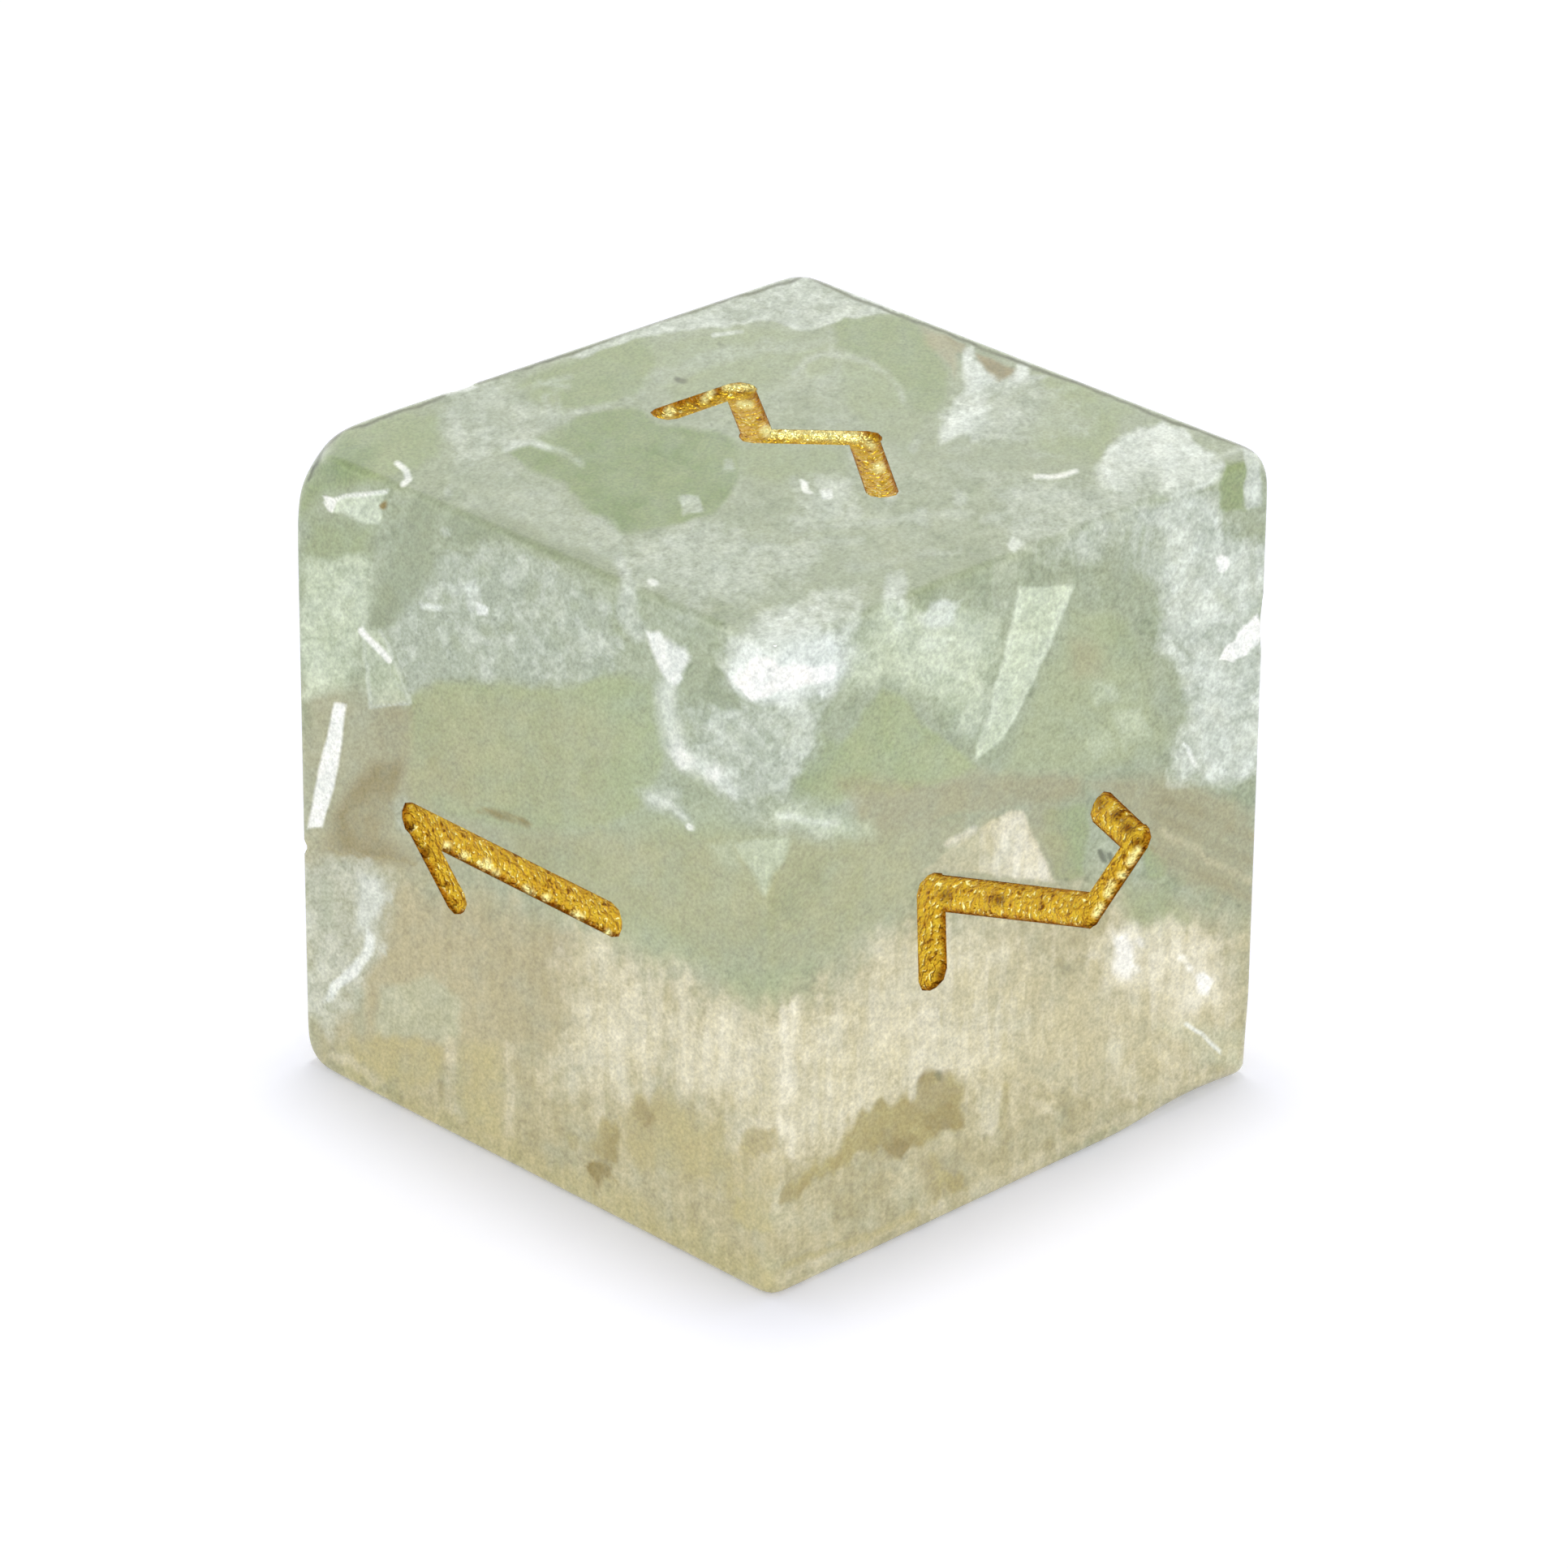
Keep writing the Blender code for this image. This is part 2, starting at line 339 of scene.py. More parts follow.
PATCHES: list[Patch] = [
    # The beige lower zone
    Patch(Layer.BEIGE, ((370, 1050), (480, 1060), (560, 1090), (640, 1112), (720, 1140), (765, 1150),
          (803, 1176), (866, 1204), (937, 1234), (985, 1220), (1045, 1165), (1129, 1112), (1200, 1090),
          (1300, 1085), (1400, 1112), (1560, 1140), (1550, 1330), (955, 1640), (370, 1320)), 50, 1.0,
          0.5),
    # Green windows on the top
    Patch(Layer.GREEN, ((372, 640), (378, 598), (400, 556), (432, 530), (470, 516), (545, 500),
          (535, 560), (500, 585), (440, 600), (400, 612)), 10, 0.8, 0.55),
    Patch(Layer.GREEN, ((398, 580), (404, 556), (430, 545), (462, 556), (455, 580), (420, 592)), 12, 0.7,
          0.95),
    Patch(Layer.GREEN, ((378, 640), (460, 645), (452, 684), (374, 690)), 12, 0.6, 0.5),
    Patch(Layer.GREEN, ((640, 470), (690, 446), (720, 434), (780, 416), (803, 413), (812, 440),
          (800, 470), (780, 492), (750, 500), (690, 503), (655, 492)), 8, 0.8, 0.6),
    Patch(Layer.GREEN, ((800, 420), (900, 402), (1000, 410), (1030, 420), (960, 470), (900, 500),
          (830, 490)), 14, 0.5, 0.4),
    Patch(Layer.GREEN, ((632, 560), (660, 540), (689, 521), (740, 508), (797, 500), (815, 519),
          (860, 530), (904, 539), (917, 560), (912, 583), (904, 606), (885, 632), (850, 645), (800, 652),
          (765, 655), (735, 640), (712, 618), (700, 600), (680, 588), (650, 575)), 5, 0.95, 0.78),
    Patch(Layer.GREEN, ((904, 545), (1045, 556), (1040, 585), (960, 595), (912, 590)), 12, 0.6, 0.5),
    Patch(Layer.GREEN, ((1028, 399), (1122, 390), (1149, 426), (1169, 459), (1170, 490), (1156, 510),
          (1129, 512), (1102, 480), (1086, 452), (1050, 438), (1025, 428)), 8, 0.8, 0.62),
    Patch(Layer.GREEN, ((988, 452), (1010, 442), (1028, 446), (1025, 466), (998, 468)), 6, 0.5, 0.3),
    Patch(Layer.GREEN, ((1282, 456), (1403, 502), (1377, 537), (1352, 576), (1290, 567), (1262, 535),
          (1292, 502)), 10, 0.75, 0.42),
    Patch(Layer.GREEN, ((1035, 440), (1090, 450), (1130, 520), (1120, 560), (1060, 520), (1040, 500)),
          12, 0.6, 0.4),
    Patch(Layer.GREEN, ((1506, 573), (1533, 573), (1533, 627), (1508, 627)), 4, 0.85, 0.65),
    # Green windows on the sides
    Patch(Layer.GREEN, ((504, 862), (540, 845), (582, 836), (640, 843), (707, 840), (765, 832),
          (795, 835), (812, 870), (818, 930), (808, 965), (780, 1000), (720, 1020), (640, 1030),
          (560, 1010), (505, 985), (500, 924)), 9, 0.8, 0.3),
    Patch(Layer.GREEN, ((772, 832), (806, 840), (808, 880), (785, 876)), 8, 0.6, 0.45),
    Patch(Layer.GREEN, ((1316, 754), (1372, 758), (1400, 780), (1420, 830), (1430, 880), (1440, 930),
          (1340, 950), (1235, 950), (1262, 890), (1290, 815)), 12, 0.55, 0.12),
    Patch(Layer.GREEN, ((1358, 762), (1400, 780), (1412, 816), (1375, 815)), 12, 0.6, 0.4),
    Patch(Layer.GREEN, ((1095, 850), (1112, 862), (1140, 890), (1169, 910), (1206, 946), (1150, 965),
          (1100, 975), (1040, 985), (1000, 1000), (981, 998), (1004, 950), (1043, 905), (1072, 870)), 6,
          0.88, 0.32),
    Patch(Layer.GREEN, ((978, 995), (990, 940), (1020, 905), (1034, 920), (1015, 960), (1000, 995)), 10,
          0.6, 0.6),
    Patch(Layer.GREEN, ((560, 1045), (640, 1030), (760, 1018), (850, 1005), (930, 1010), (1030, 1020),
          (1130, 1040), (1140, 1090), (1062, 1150), (981, 1192), (900, 1196), (840, 1180), (765, 1150),
          (700, 1115), (640, 1090)), 30, 0.75, 0.22),
    Patch(Layer.GREEN, ((840, 1150), (937, 1190), (1010, 1160), (990, 1215), (937, 1240), (890, 1215)),
          26, 0.5, 0.4),
    Patch(Layer.GREEN, ((954, 1114), (985, 1062), (1014, 1050), (1018, 1090), (980, 1130), (956, 1130)),
          7, 0.7, 0.6),
    Patch(Layer.GREEN, ((632, 1023), (689, 1040), (700, 1070), (650, 1060)), 8, 0.5, 0.5),
    Patch(Layer.GREEN, ((1290, 996), (1336, 992), (1338, 1075), (1318, 1085), (1300, 1083),
          (1283, 1035)), 5, 0.8, 0.5),
    Patch(Layer.GREEN, ((1405, 1035), (1440, 1060), (1440, 1085), (1412, 1085)), 5, 0.7, 0.5),
    Patch(Layer.GREEN, ((1385, 1100), (1440, 1095), (1470, 1140), (1440, 1160), (1400, 1150)), 14, 0.6,
          0.5),
    # Brown, grey-beige and lavender patches
    Patch(Layer.TAUPE, ((470, 1080), (640, 1120), (720, 1160), (705, 1290), (560, 1310), (440, 1290),
          (440, 1150)), 24, 0.38, 0.2),
    Patch(Layer.TAUPE, ((370, 840), (500, 860), (560, 1010), (850, 1030), (850, 1090), (600, 1080),
          (370, 1075)), 22, 0.5, 0.1),
    Patch(Layer.TAUPE, ((800, 1030), (1000, 1020), (1130, 1050), (1130, 1100), (1060, 1150), (980, 1190),
          (900, 1190), (820, 1150)), 26, 0.42, 0.35),
    Patch(Layer.TAUPE, ((1040, 1000), (1180, 1010), (1300, 990), (1330, 1085), (1140, 1090),
          (1080, 1110)), 16, 0.45, 0.2),
    Patch(Layer.TAUPE, ((520, 850), (700, 850), (760, 900), (740, 1010), (560, 1005), (510, 930)), 30,
          0.3, 0.25),
    Patch(Layer.TAUPE, ((1136, 405), (1169, 418), (1184, 440), (1180, 462), (1160, 445), (1140, 425)), 6,
          0.6, 0.15),
    Patch(Layer.TAUPE, ((1162, 415), (1190, 424), (1196, 436), (1180, 440)), 3, 0.7, 0.6),
    Patch(Layer.TAUPE, ((1203, 432), (1257, 452), (1250, 466), (1240, 463), (1228, 470), (1212, 455)), 3,
          0.95, 0.8),
    Patch(Layer.TAUPE, ((398, 1050), (404, 1019), (416, 991), (440, 955), (458, 939), (500, 928),
          (484, 998), (470, 1030), (512, 1056), (505, 1066), (404, 1054)), 9, 0.9, 0.72, 0.6),
    Patch(Layer.TAUPE, ((462, 876), (512, 868), (502, 925), (470, 935)), 7, 0.65, 0.45),
    Patch(Layer.TAUPE, ((510, 925), (575, 915), (585, 990), (520, 988)), 18, 0.5, 0.25),
    Patch(Layer.TAUPE, ((560, 1040), (700, 1040), (850, 1060), (930, 1090), (860, 1160), (720, 1120),
          (600, 1080)), 24, 0.4, 0.35),
    Patch(Layer.TAUPE, ((1317, 789), (1340, 785), (1358, 800), (1350, 836), (1325, 836)), 14, 0.4, 0.2),
    Patch(Layer.TAUPE, ((676, 1150), (714, 1150), (706, 1186), (694, 1194), (682, 1180)), 4, 0.75, 0.6),
    *strokes(Layer.TAUPE, 8, ((651, 1181), (656, 1226)), ((669, 1188), (673, 1232)), ((686, 1200),
             (692, 1222)), ((1243, 1140), (1230, 1174)), strength=0.45, tone=0.5),
    Patch(Layer.TAUPE, ((738, 1395), (765, 1392), (772, 1430), (745, 1436)), 6, 0.7, 0.5, 2.0),
    Patch(Layer.TAUPE, ((778, 1347), (822, 1350), (820, 1390), (784, 1394)), 9, 0.55, 0.4, 2.5),
    Patch(Layer.TAUPE, ((1142, 1424), (1187, 1419), (1185, 1468), (1146, 1471)), 9, 0.55, 0.4, 2.5),
    Patch(Layer.TAUPE, ((1035, 960), (1120, 965), (1206, 950), (1330, 955), (1330, 985), (1250, 998),
          (1180, 1010), (1120, 1030), (1060, 1020)), 12, 0.6, 0.4),
    Patch(Layer.TAUPE, ((1340, 965), (1425, 955), (1545, 1000), (1545, 1120), (1500, 1110), (1440, 1075),
          (1400, 1020)), 14, 0.6, 0.4),
    *strokes(Layer.TAUPE, 11, ((1425, 1006), (1480, 1032), (1545, 1064)), ((1420, 1044), (1490, 1082),
             (1545, 1110)), ((1436, 985), (1490, 1010), (1545, 1032)), strength=0.7, tone=0.65,
             softness=4),
    # Yellow-olive and olive-brown patches, and small brown marks
    Patch(Layer.OLIVE, ((417, 1284), (470, 1280), (543, 1283), (540, 1320), (500, 1345), (440, 1312)), 9,
          0.6, 0.2),
    Patch(Layer.OLIVE, ((569, 1290), (613, 1290), (616, 1400), (590, 1395), (569, 1380)), 12, 0.55, 0.1),
    Patch(Layer.OLIVE, ((420, 1310), (500, 1345), (600, 1395), (760, 1465), (955, 1560), (955, 1620),
          (690, 1500), (400, 1330)), 16, 0.4, -0.05),
    Patch(Layer.OLIVE, ((700, 1396), (716, 1400), (716, 1420), (704, 1416)), 4, 0.6, 0.5),
    Patch(Layer.OLIVE, ((774, 1362), (810, 1352), (845, 1372), (880, 1390), (900, 1420), (950, 1414),
          (952, 1490), (900, 1470), (860, 1450), (810, 1440), (776, 1405)), 12, 0.55, 0.3, 2.0),
    Patch(Layer.OLIVE, ((782, 1362), (800, 1358), (806, 1384), (790, 1390)), 5, 0.7, 0.7, 1.5),
    Patch(Layer.OLIVE, ((740, 1380), (768, 1384), (766, 1432), (746, 1430), (728, 1404)), 6, 0.75, 0.55,
          1.5),
    Patch(Layer.OLIVE, ((915, 1392), (957, 1390), (957, 1424), (917, 1423)), 5, 0.7, 0.45),
    Patch(Layer.OLIVE, ((904, 1474), (953, 1470), (953, 1514), (908, 1510)), 5, 0.6, 0.25),
    Patch(Layer.OLIVE, ((964, 1461), (978, 1456), (976, 1480), (964, 1484)), 3, 0.6, 0.6),
    Patch(Layer.OLIVE, ((969, 1458), (1001, 1435), (1033, 1419), (1052, 1381), (1084, 1361),
          (1116, 1342), (1142, 1329), (1174, 1316), (1187, 1323), (1177, 1361), (1174, 1387),
          (1142, 1406), (1110, 1426), (1084, 1426), (1059, 1413), (1026, 1445), (994, 1458),
          (969, 1480)), 6, 0.9, 0.62, 1.5),
    Patch(Layer.OLIVE, ((1084, 1402), (1123, 1398), (1126, 1420), (1090, 1426)), 5, 0.8, 0.9, 2.0),
    Patch(Layer.OLIVE, ((1150, 1446), (1188, 1442), (1190, 1466), (1154, 1470)), 5, 0.7, 0.6, 2.0),
    *strokes(Layer.OLIVE, 10, ((1240, 1338), (1234, 1384)), ((1150, 1422), (1160, 1450)), ((968, 1562),
             (1050, 1532), (1129, 1498)), strength=0.5, tone=0.4, softness=4),
    *strokes(Layer.OLIVE, 9, ((591, 1001), (618, 1004), (651, 1016)), strength=0.85, tone=1.0,
             softness=4),
    *strokes(Layer.OLIVE, 4, ((404, 1050), (512, 1061)), strength=0.5, tone=0.6, softness=2.5),
    *dots(Layer.OLIVE, 5, (474, 622), tone=1.0, strength=1.0),
    Patch(Layer.OLIVE, ((730, 1440), (742, 1434), (761, 1438), (760, 1460), (744, 1457), (734, 1462)), 4,
          0.85, 0.85, 2.0),
    # Clouds on the top
    Patch(Layer.CLOUD, ((700, 434), (760, 412), (860, 378), (990, 330), (1122, 385), (1035, 397),
          (988, 404), (940, 394), (900, 398), (850, 402), (803, 412), (752, 426), (714, 440)), 3, 0.9,
          0.25),
    *strokes(Layer.CLOUD, 5, ((714, 437), (803, 410), (860, 401), (940, 393), (988, 402), (1035, 395)),
             ((879, 412), (900, 408), (917, 408)), strength=0.7, tone=0.7),
    Patch(Layer.CLOUD, ((790, 470), (812, 455), (845, 442), (900, 426), (980, 418), (1010, 414),
          (1030, 420), (1000, 430), (930, 440), (880, 452), (850, 464), (820, 474)), 6, 0.5, -0.1),
    Patch(Layer.CLOUD, ((540, 500), (600, 472), (640, 474), (660, 492), (690, 505), (676, 535),
          (640, 548), (600, 565), (560, 580), (545, 545)), 14, 0.6, 0.1, 2.0),
    *strokes(Layer.CLOUD, 6, ((613, 492), (650, 478), (702, 463)), ((682, 482), (689, 513)), ((666, 470),
             (700, 476)), ((689, 513), (730, 503), (778, 494)), strength=0.45, tone=0.35, softness=5),
    *strokes(Layer.CLOUD, 9, ((560, 520), (566, 545)), ((590, 500), (600, 540)), ((640, 500),
             (646, 530)), ((672, 490), (680, 515)), strength=0.6, tone=0.4, softness=5),
    *strokes(Layer.CLOUD, 9, ((625, 553), (640, 546), (657, 544), (676, 551)), strength=0.85, tone=0.5,
             softness=4),
    *strokes(Layer.CLOUD, 7, ((676, 551), (700, 558), (718, 570)), strength=0.5, tone=0.4, softness=5),
    Patch(Layer.CLOUD, ((543, 582), (580, 572), (612, 574), (634, 583), (654, 599), (687, 612),
          (706, 632), (752, 645), (768, 664), (765, 684), (745, 687), (713, 674), (673, 658), (634, 642),
          (608, 632), (569, 619), (548, 602)), 6, 0.65, -0.1, fade=((690, 640), (520, 570))),
    Patch(Layer.CLOUD, ((667, 622), (706, 634), (750, 648), (768, 666), (760, 682), (720, 674),
          (690, 655)), 9, 0.65, 0.05),
    Patch(Layer.CLOUD, ((1190, 432), (1200, 426), (1206, 442), (1216, 459), (1230, 469), (1243, 459),
          (1254, 442), (1267, 444), (1270, 459), (1287, 459), (1277, 479), (1274, 506), (1250, 527),
          (1230, 533), (1216, 543), (1196, 543), (1190, 533), (1156, 554), (1159, 527), (1169, 513),
          (1179, 493), (1190, 479)), 5, 0.92, 0.4, 0.8),
    Patch(Layer.CLOUD, ((1225, 470), (1300, 475), (1305, 530), (1260, 550), (1215, 545)), 12, 0.6, 0.2,
          2.0),
    Patch(Layer.CLOUD, ((1190, 434), (1199, 428), (1208, 452), (1210, 480), (1194, 484), (1190, 460)), 4,
          0.9, 0.85),
    Patch(Layer.CLOUD, ((1250, 446), (1268, 448), (1268, 475), (1254, 476)), 4, 0.9, 0.85),
    Patch(Layer.CLOUD, ((1162, 520), (1182, 497), (1215, 486), (1225, 505), (1200, 528), (1165, 542)), 6,
          0.9, 0.75, 1.5),
    Patch(Layer.CLOUD, ((1264, 470), (1300, 480), (1340, 505), (1345, 535), (1300, 545), (1262, 535)),
          14, 0.5, 0.0, 2.0),
    Patch(Layer.CLOUD, ((1348, 580), (1371, 554), (1398, 533), (1432, 513), (1459, 527), (1486, 560),
          (1506, 580), (1493, 601), (1452, 607), (1432, 604), (1398, 614), (1365, 601)), 5, 0.92, 0.68,
          1.5),
    Patch(Layer.CLOUD, ((1405, 535), (1432, 515), (1455, 528), (1450, 545), (1425, 552)), 5, 0.9, 1.0),
    *strokes(Layer.CLOUD, 7, ((1378, 598), (1412, 548)), ((1402, 606), (1445, 558)), ((1432, 602),
             (1474, 572)), strength=0.8, tone=0.95, softness=3.5),
    *strokes(Layer.CLOUD, 12, ((1164, 568), (1200, 584), (1240, 584)), ((1150, 560), (1190, 556)),
             strength=0.4, tone=0.25, softness=7),
    *strokes(Layer.CLOUD, 5, ((1494, 570), (1512, 562), (1527, 556)), ((1269, 564), (1290, 559),
             (1312, 564)), strength=0.4, tone=0.5, softness=4),
    Patch(Layer.CLOUD, ((1531, 556), (1548, 560), (1556, 620), (1535, 624)), 3, 0.8, 0.6),
    Patch(Layer.CLOUD, ((1336, 602), (1398, 606), (1395, 634), (1340, 630)), 10, 0.5, 0.3, 2.0),
    *strokes(Layer.CLOUD, 6, ((978, 463), (990, 446), (1013, 437), (1043, 441), (1070, 447), (1095, 458),
             (1108, 476), (1112, 493)), ((1020, 412), (1021, 437)), strength=0.35, tone=0.4, softness=5),
    Patch(Layer.CLOUD, ((985, 588), (1040, 600), (1030, 640), (990, 635)), 9, 0.5, 0.3, 2.0),
    Patch(Layer.CLOUD, ((838, 612), (860, 610), (866, 632), (842, 636)), 3, 0.7, 0.35),
    *dots(Layer.CLOUD, 9, (1004, 612), (1022, 620), (1046, 628), (985, 640), (1100, 610), (1140, 640),
          (1180, 618), (1060, 560), tone=0.45, strength=0.55, softness=6),
    *dots(Layer.CLOUD, 7, (1016, 607), (898, 577), (549, 602), (1124, 548), tone=0.4, strength=0.6,
          softness=4),
    # Clouds at the left
    Patch(Layer.CLOUD, ((540, 690), (600, 672), (660, 690), (720, 725), (752, 745), (765, 790),
          (762, 822), (713, 842), (654, 838), (575, 826), (504, 852), (490, 820), (480, 780),
          (500, 735)), 8, 0.75, 0.0, 1.5),
    Patch(Layer.CLOUD, ((516, 743), (546, 744), (544, 752), (520, 753)), 2.5, 0.95, 0.85),
    Patch(Layer.CLOUD, ((572, 722), (586, 716), (592, 740), (584, 760), (574, 750)), 3, 0.9, 0.6),
    Patch(Layer.CLOUD, ((618, 706), (640, 702), (636, 728), (622, 722)), 4, 0.7, 0.4),
    Patch(Layer.CLOUD, ((736, 738), (754, 740), (752, 760), (738, 758)), 4, 0.7, 0.4),
    Patch(Layer.CLOUD, ((735, 782), (770, 784), (768, 800), (740, 802)), 5, 0.7, 0.4),
    *strokes(Layer.CLOUD, 9, ((641, 756), (655, 778), (664, 800)), ((713, 762), (719, 785), (722, 802)),
             ((690, 764), (700, 800)), ((575, 772), (590, 792)), ((668, 742), (690, 756)), ((600, 692),
             (636, 712)), ((540, 780), (556, 800)), ((610, 740), (622, 764)), ((500, 790), (512, 812)),
             ((730, 812), (756, 806)), strength=0.6, tone=0.42, softness=4),
    *dots(Layer.CLOUD, 6, (641, 700), (556, 658), (680, 694), (605, 808), (556, 818), (523, 818),
          (660, 815), (700, 724), (520, 772), (628, 792), (578, 700), tone=0.45, strength=0.65,
          softness=3.5),
    *strokes(Layer.CLOUD, 22, ((766, 690), (775, 720), (772, 756), (786, 778)), strength=0.8, tone=0.5,
             softness=7),
    Patch(Layer.CLOUD, ((480, 992), (500, 975), (512, 1000), (505, 1023), (485, 1020)), 6, 0.5, 0.1),
    *strokes(Layer.CLOUD, 4, ((448, 769), (458, 870)), ((470, 775), (505, 866)), ((458, 870),
             (505, 866)), ((480, 830), (495, 850)), strength=0.6, tone=0.5),
    Patch(Layer.CLOUD, ((375, 1065), (420, 1062), (480, 1075), (482, 1110), (475, 1150), (450, 1200),
          (430, 1250), (400, 1275), (378, 1250)), 16, 0.6, 0.25, 2.0),
    *dots(Layer.CLOUD, 7, (470, 1128), (480, 1100), (395, 1190), (410, 1160), (468, 1170), tone=0.6,
          strength=0.6, softness=4),
    # Clouds in the middle, and beside the right upper edge
    Patch(Layer.CLOUD, ((770, 664), (860, 655), (930, 660), (1000, 668), (1000, 700), (940, 730),
          (890, 745), (850, 770), (815, 760), (800, 730)), 16, 0.6, 0.2, 2.0),
    Patch(Layer.CLOUD, ((1230, 600), (1420, 590), (1440, 640), (1380, 690), (1300, 700), (1240, 660)),
          18, 0.6, 0.15, 2.0),
    *dots(Layer.CLOUD, 14, (925, 717), (880, 700), (960, 690), tone=0.4, strength=0.5, softness=8),
    Patch(Layer.CLOUD, ((850, 870), (910, 872), (985, 862), (1025, 866), (1010, 905), (985, 950),
          (960, 985), (905, 985), (870, 960), (848, 920)), 12, 0.75, 0.25, 2.0),
    Patch(Layer.CLOUD, ((885, 800), (915, 772), (940, 752), (1001, 735), (1070, 724), (1060, 762),
          (1056, 789), (1066, 816), (1035, 843), (1021, 863), (967, 870), (915, 866), (890, 835)), 12,
          0.92, 0.6, 1.5, fade=((985, 800), (1090, 690))),
    Patch(Layer.CLOUD, ((896, 835), (912, 800), (950, 772), (1010, 768), (1048, 800), (1040, 828),
          (975, 850), (925, 866)), 7, 0.9, 0.9),
    Patch(Layer.CLOUD, ((1089, 708), (1110, 700), (1122, 720), (1118, 760), (1108, 782), (1096, 765),
          (1090, 740)), 6, 0.75, 0.6),
    Patch(Layer.CLOUD, ((1136, 775), (1170, 785), (1165, 805), (1135, 800)), 7, 0.6, 0.8),
    Patch(Layer.CLOUD, ((1146, 736), (1188, 744), (1172, 766), (1150, 774), (1140, 756)), 4, 0.85, 0.9),
    Patch(Layer.CLOUD, ((900, 985), (1055, 980), (1055, 1033), (960, 1035), (905, 1010)), 14, 0.5, 0.1),
    Patch(Layer.CLOUD, ((784, 975), (841, 972), (850, 1010), (800, 1000)), 8, 0.5, 0.3),
    *strokes(Layer.CLOUD, 9, ((1048, 700), (1100, 690), (1180, 676)), ((980, 652), (1100, 640),
             (1200, 632)), ((1210, 640), (1290, 628)), ((1000, 672), (1060, 664)), strength=0.45,
             tone=0.35, softness=6),
    Patch(Layer.CLOUD, ((1237, 668), (1250, 660), (1264, 668), (1252, 681)), 3, 0.7, 0.7),
    # Clouds at the right
    Patch(Layer.CLOUD, ((1350, 640), (1400, 625), (1440, 604), (1505, 600), (1512, 655), (1560, 660),
          (1560, 940), (1510, 975), (1450, 960), (1445, 920), (1470, 880), (1448, 830), (1430, 800),
          (1440, 740), (1400, 690)), 12, 0.88, 0.5, 2.0),
    Patch(Layer.CLOUD, ((1440, 640), (1495, 645), (1500, 680), (1450, 690)), 12, 0.8, 0.65),
    *dots(Layer.CLOUD, 9, (1495, 840), (1530, 700), (1480, 760), (1520, 880), (1460, 725), (1540, 900),
          tone=0.8, strength=0.7, softness=6),
    *strokes(Layer.CLOUD, 6, ((1390, 655), (1385, 700)), ((1410, 650), (1404, 690)), strength=0.4,
             tone=0.3),
    # Dark places in the clouds
    Patch(Layer.SHADE, ((556, 628), (615, 628), (673, 651), (726, 681), (762, 700), (765, 717),
          (745, 723), (713, 700), (667, 681), (621, 664), (569, 671), (552, 650)), 6, 0.85, 0.55),
    Patch(Layer.SHADE, ((520, 600), (500, 640), (480, 690), (458, 740), (458, 775), (480, 772),
          (510, 740), (530, 690), (540, 640), (545, 610)), 9, 0.75, 0.5),
    Patch(Layer.SHADE, ((560, 580), (640, 592), (760, 655), (745, 684), (600, 628)), 10, 0.35, 0.1),
    *dots(Layer.SHADE, 9, (549, 736), (647, 730), (620, 770), (705, 744), (738, 770), (600, 775),
          (560, 790), tone=0.35, strength=0.55, softness=5),
    *dots(Layer.SHADE, 13, (687, 786), (530, 705), (590, 705), tone=0.3, strength=0.5, softness=8),
    Patch(Layer.SHADE, ((795, 725), (830, 715), (850, 735), (840, 758), (810, 755)), 8, 0.6, 0.45),
    Patch(Layer.SHADE, ((876, 815), (892, 828), (904, 850), (916, 878), (884, 874), (862, 858)), 4, 0.85,
          0.6, 0.5),
    Patch(Layer.SHADE, ((843, 852), (856, 812), (866, 806), (866, 840), (852, 862)), 5, 0.6, 0.4),
    Patch(Layer.SHADE, ((1060, 500), (1110, 500), (1156, 556), (1216, 547), (1340, 555), (1358, 583),
          (1240, 580), (1150, 578), (1080, 545)), 9, 0.55, 0.3),
    Patch(Layer.SHADE, ((1000, 690), (1100, 678), (1183, 690), (1223, 690), (1215, 708), (1130, 712),
          (1040, 722), (994, 722)), 8, 0.4, 0.3),
    Patch(Layer.SHADE, ((1183, 690), (1206, 686), (1223, 692), (1218, 708), (1190, 708)), 5, 0.6, 0.6),
    Patch(Layer.SHADE, ((1062, 730), (1085, 718), (1088, 760), (1075, 790), (1062, 780)), 6, 0.45, 0.3),
    *dots(Layer.SHADE, 6, (1109, 749), (1098, 764), tone=0.5, strength=0.7, softness=4),
    *strokes(Layer.SHADE, 6, ((1086, 733), (1084, 760), (1089, 792)), ((1128, 770), (1122, 810)),
             strength=0.6, tone=0.5, softness=4),
    Patch(Layer.SHADE, ((1371, 640), (1410, 634), (1437, 660), (1439, 700), (1425, 745), (1390, 749),
          (1372, 720), (1362, 680)), 8, 0.45, 0.35),
    *strokes(Layer.SHADE, 5, ((1425, 785), (1450, 795), (1472, 812)), ((1214, 500), (1232, 485),
             (1240, 468)), ((1540, 640), (1545, 760)), strength=0.45, tone=0.4, softness=3.5),
    *strokes(Layer.SHADE, 14, ((1432, 842), (1465, 836)), ((1500, 730), (1515, 750)), ((900, 900),
             (940, 930)), strength=0.4, tone=0.3, softness=7),
    *strokes(Layer.SHADE, 4, ((1248, 728), (1230, 800), (1210, 868), (1200, 930)), strength=0.4,
             tone=0.4, softness=3),
    *strokes(Layer.SHADE, 14, ((404, 1092), (404, 1140)), ((440, 1225), (445, 1270)), strength=0.4,
             tone=0.3, softness=8),
    # Pale green glows
    Patch(Layer.MINT, ((373, 692), (450, 684), (450, 760), (440, 820), (425, 850), (373, 860)), 10, 0.8,
          0.35),
    Patch(Layer.MINT, ((446, 772), (470, 775), (505, 864), (458, 868)), 5, 0.5, 0.2),
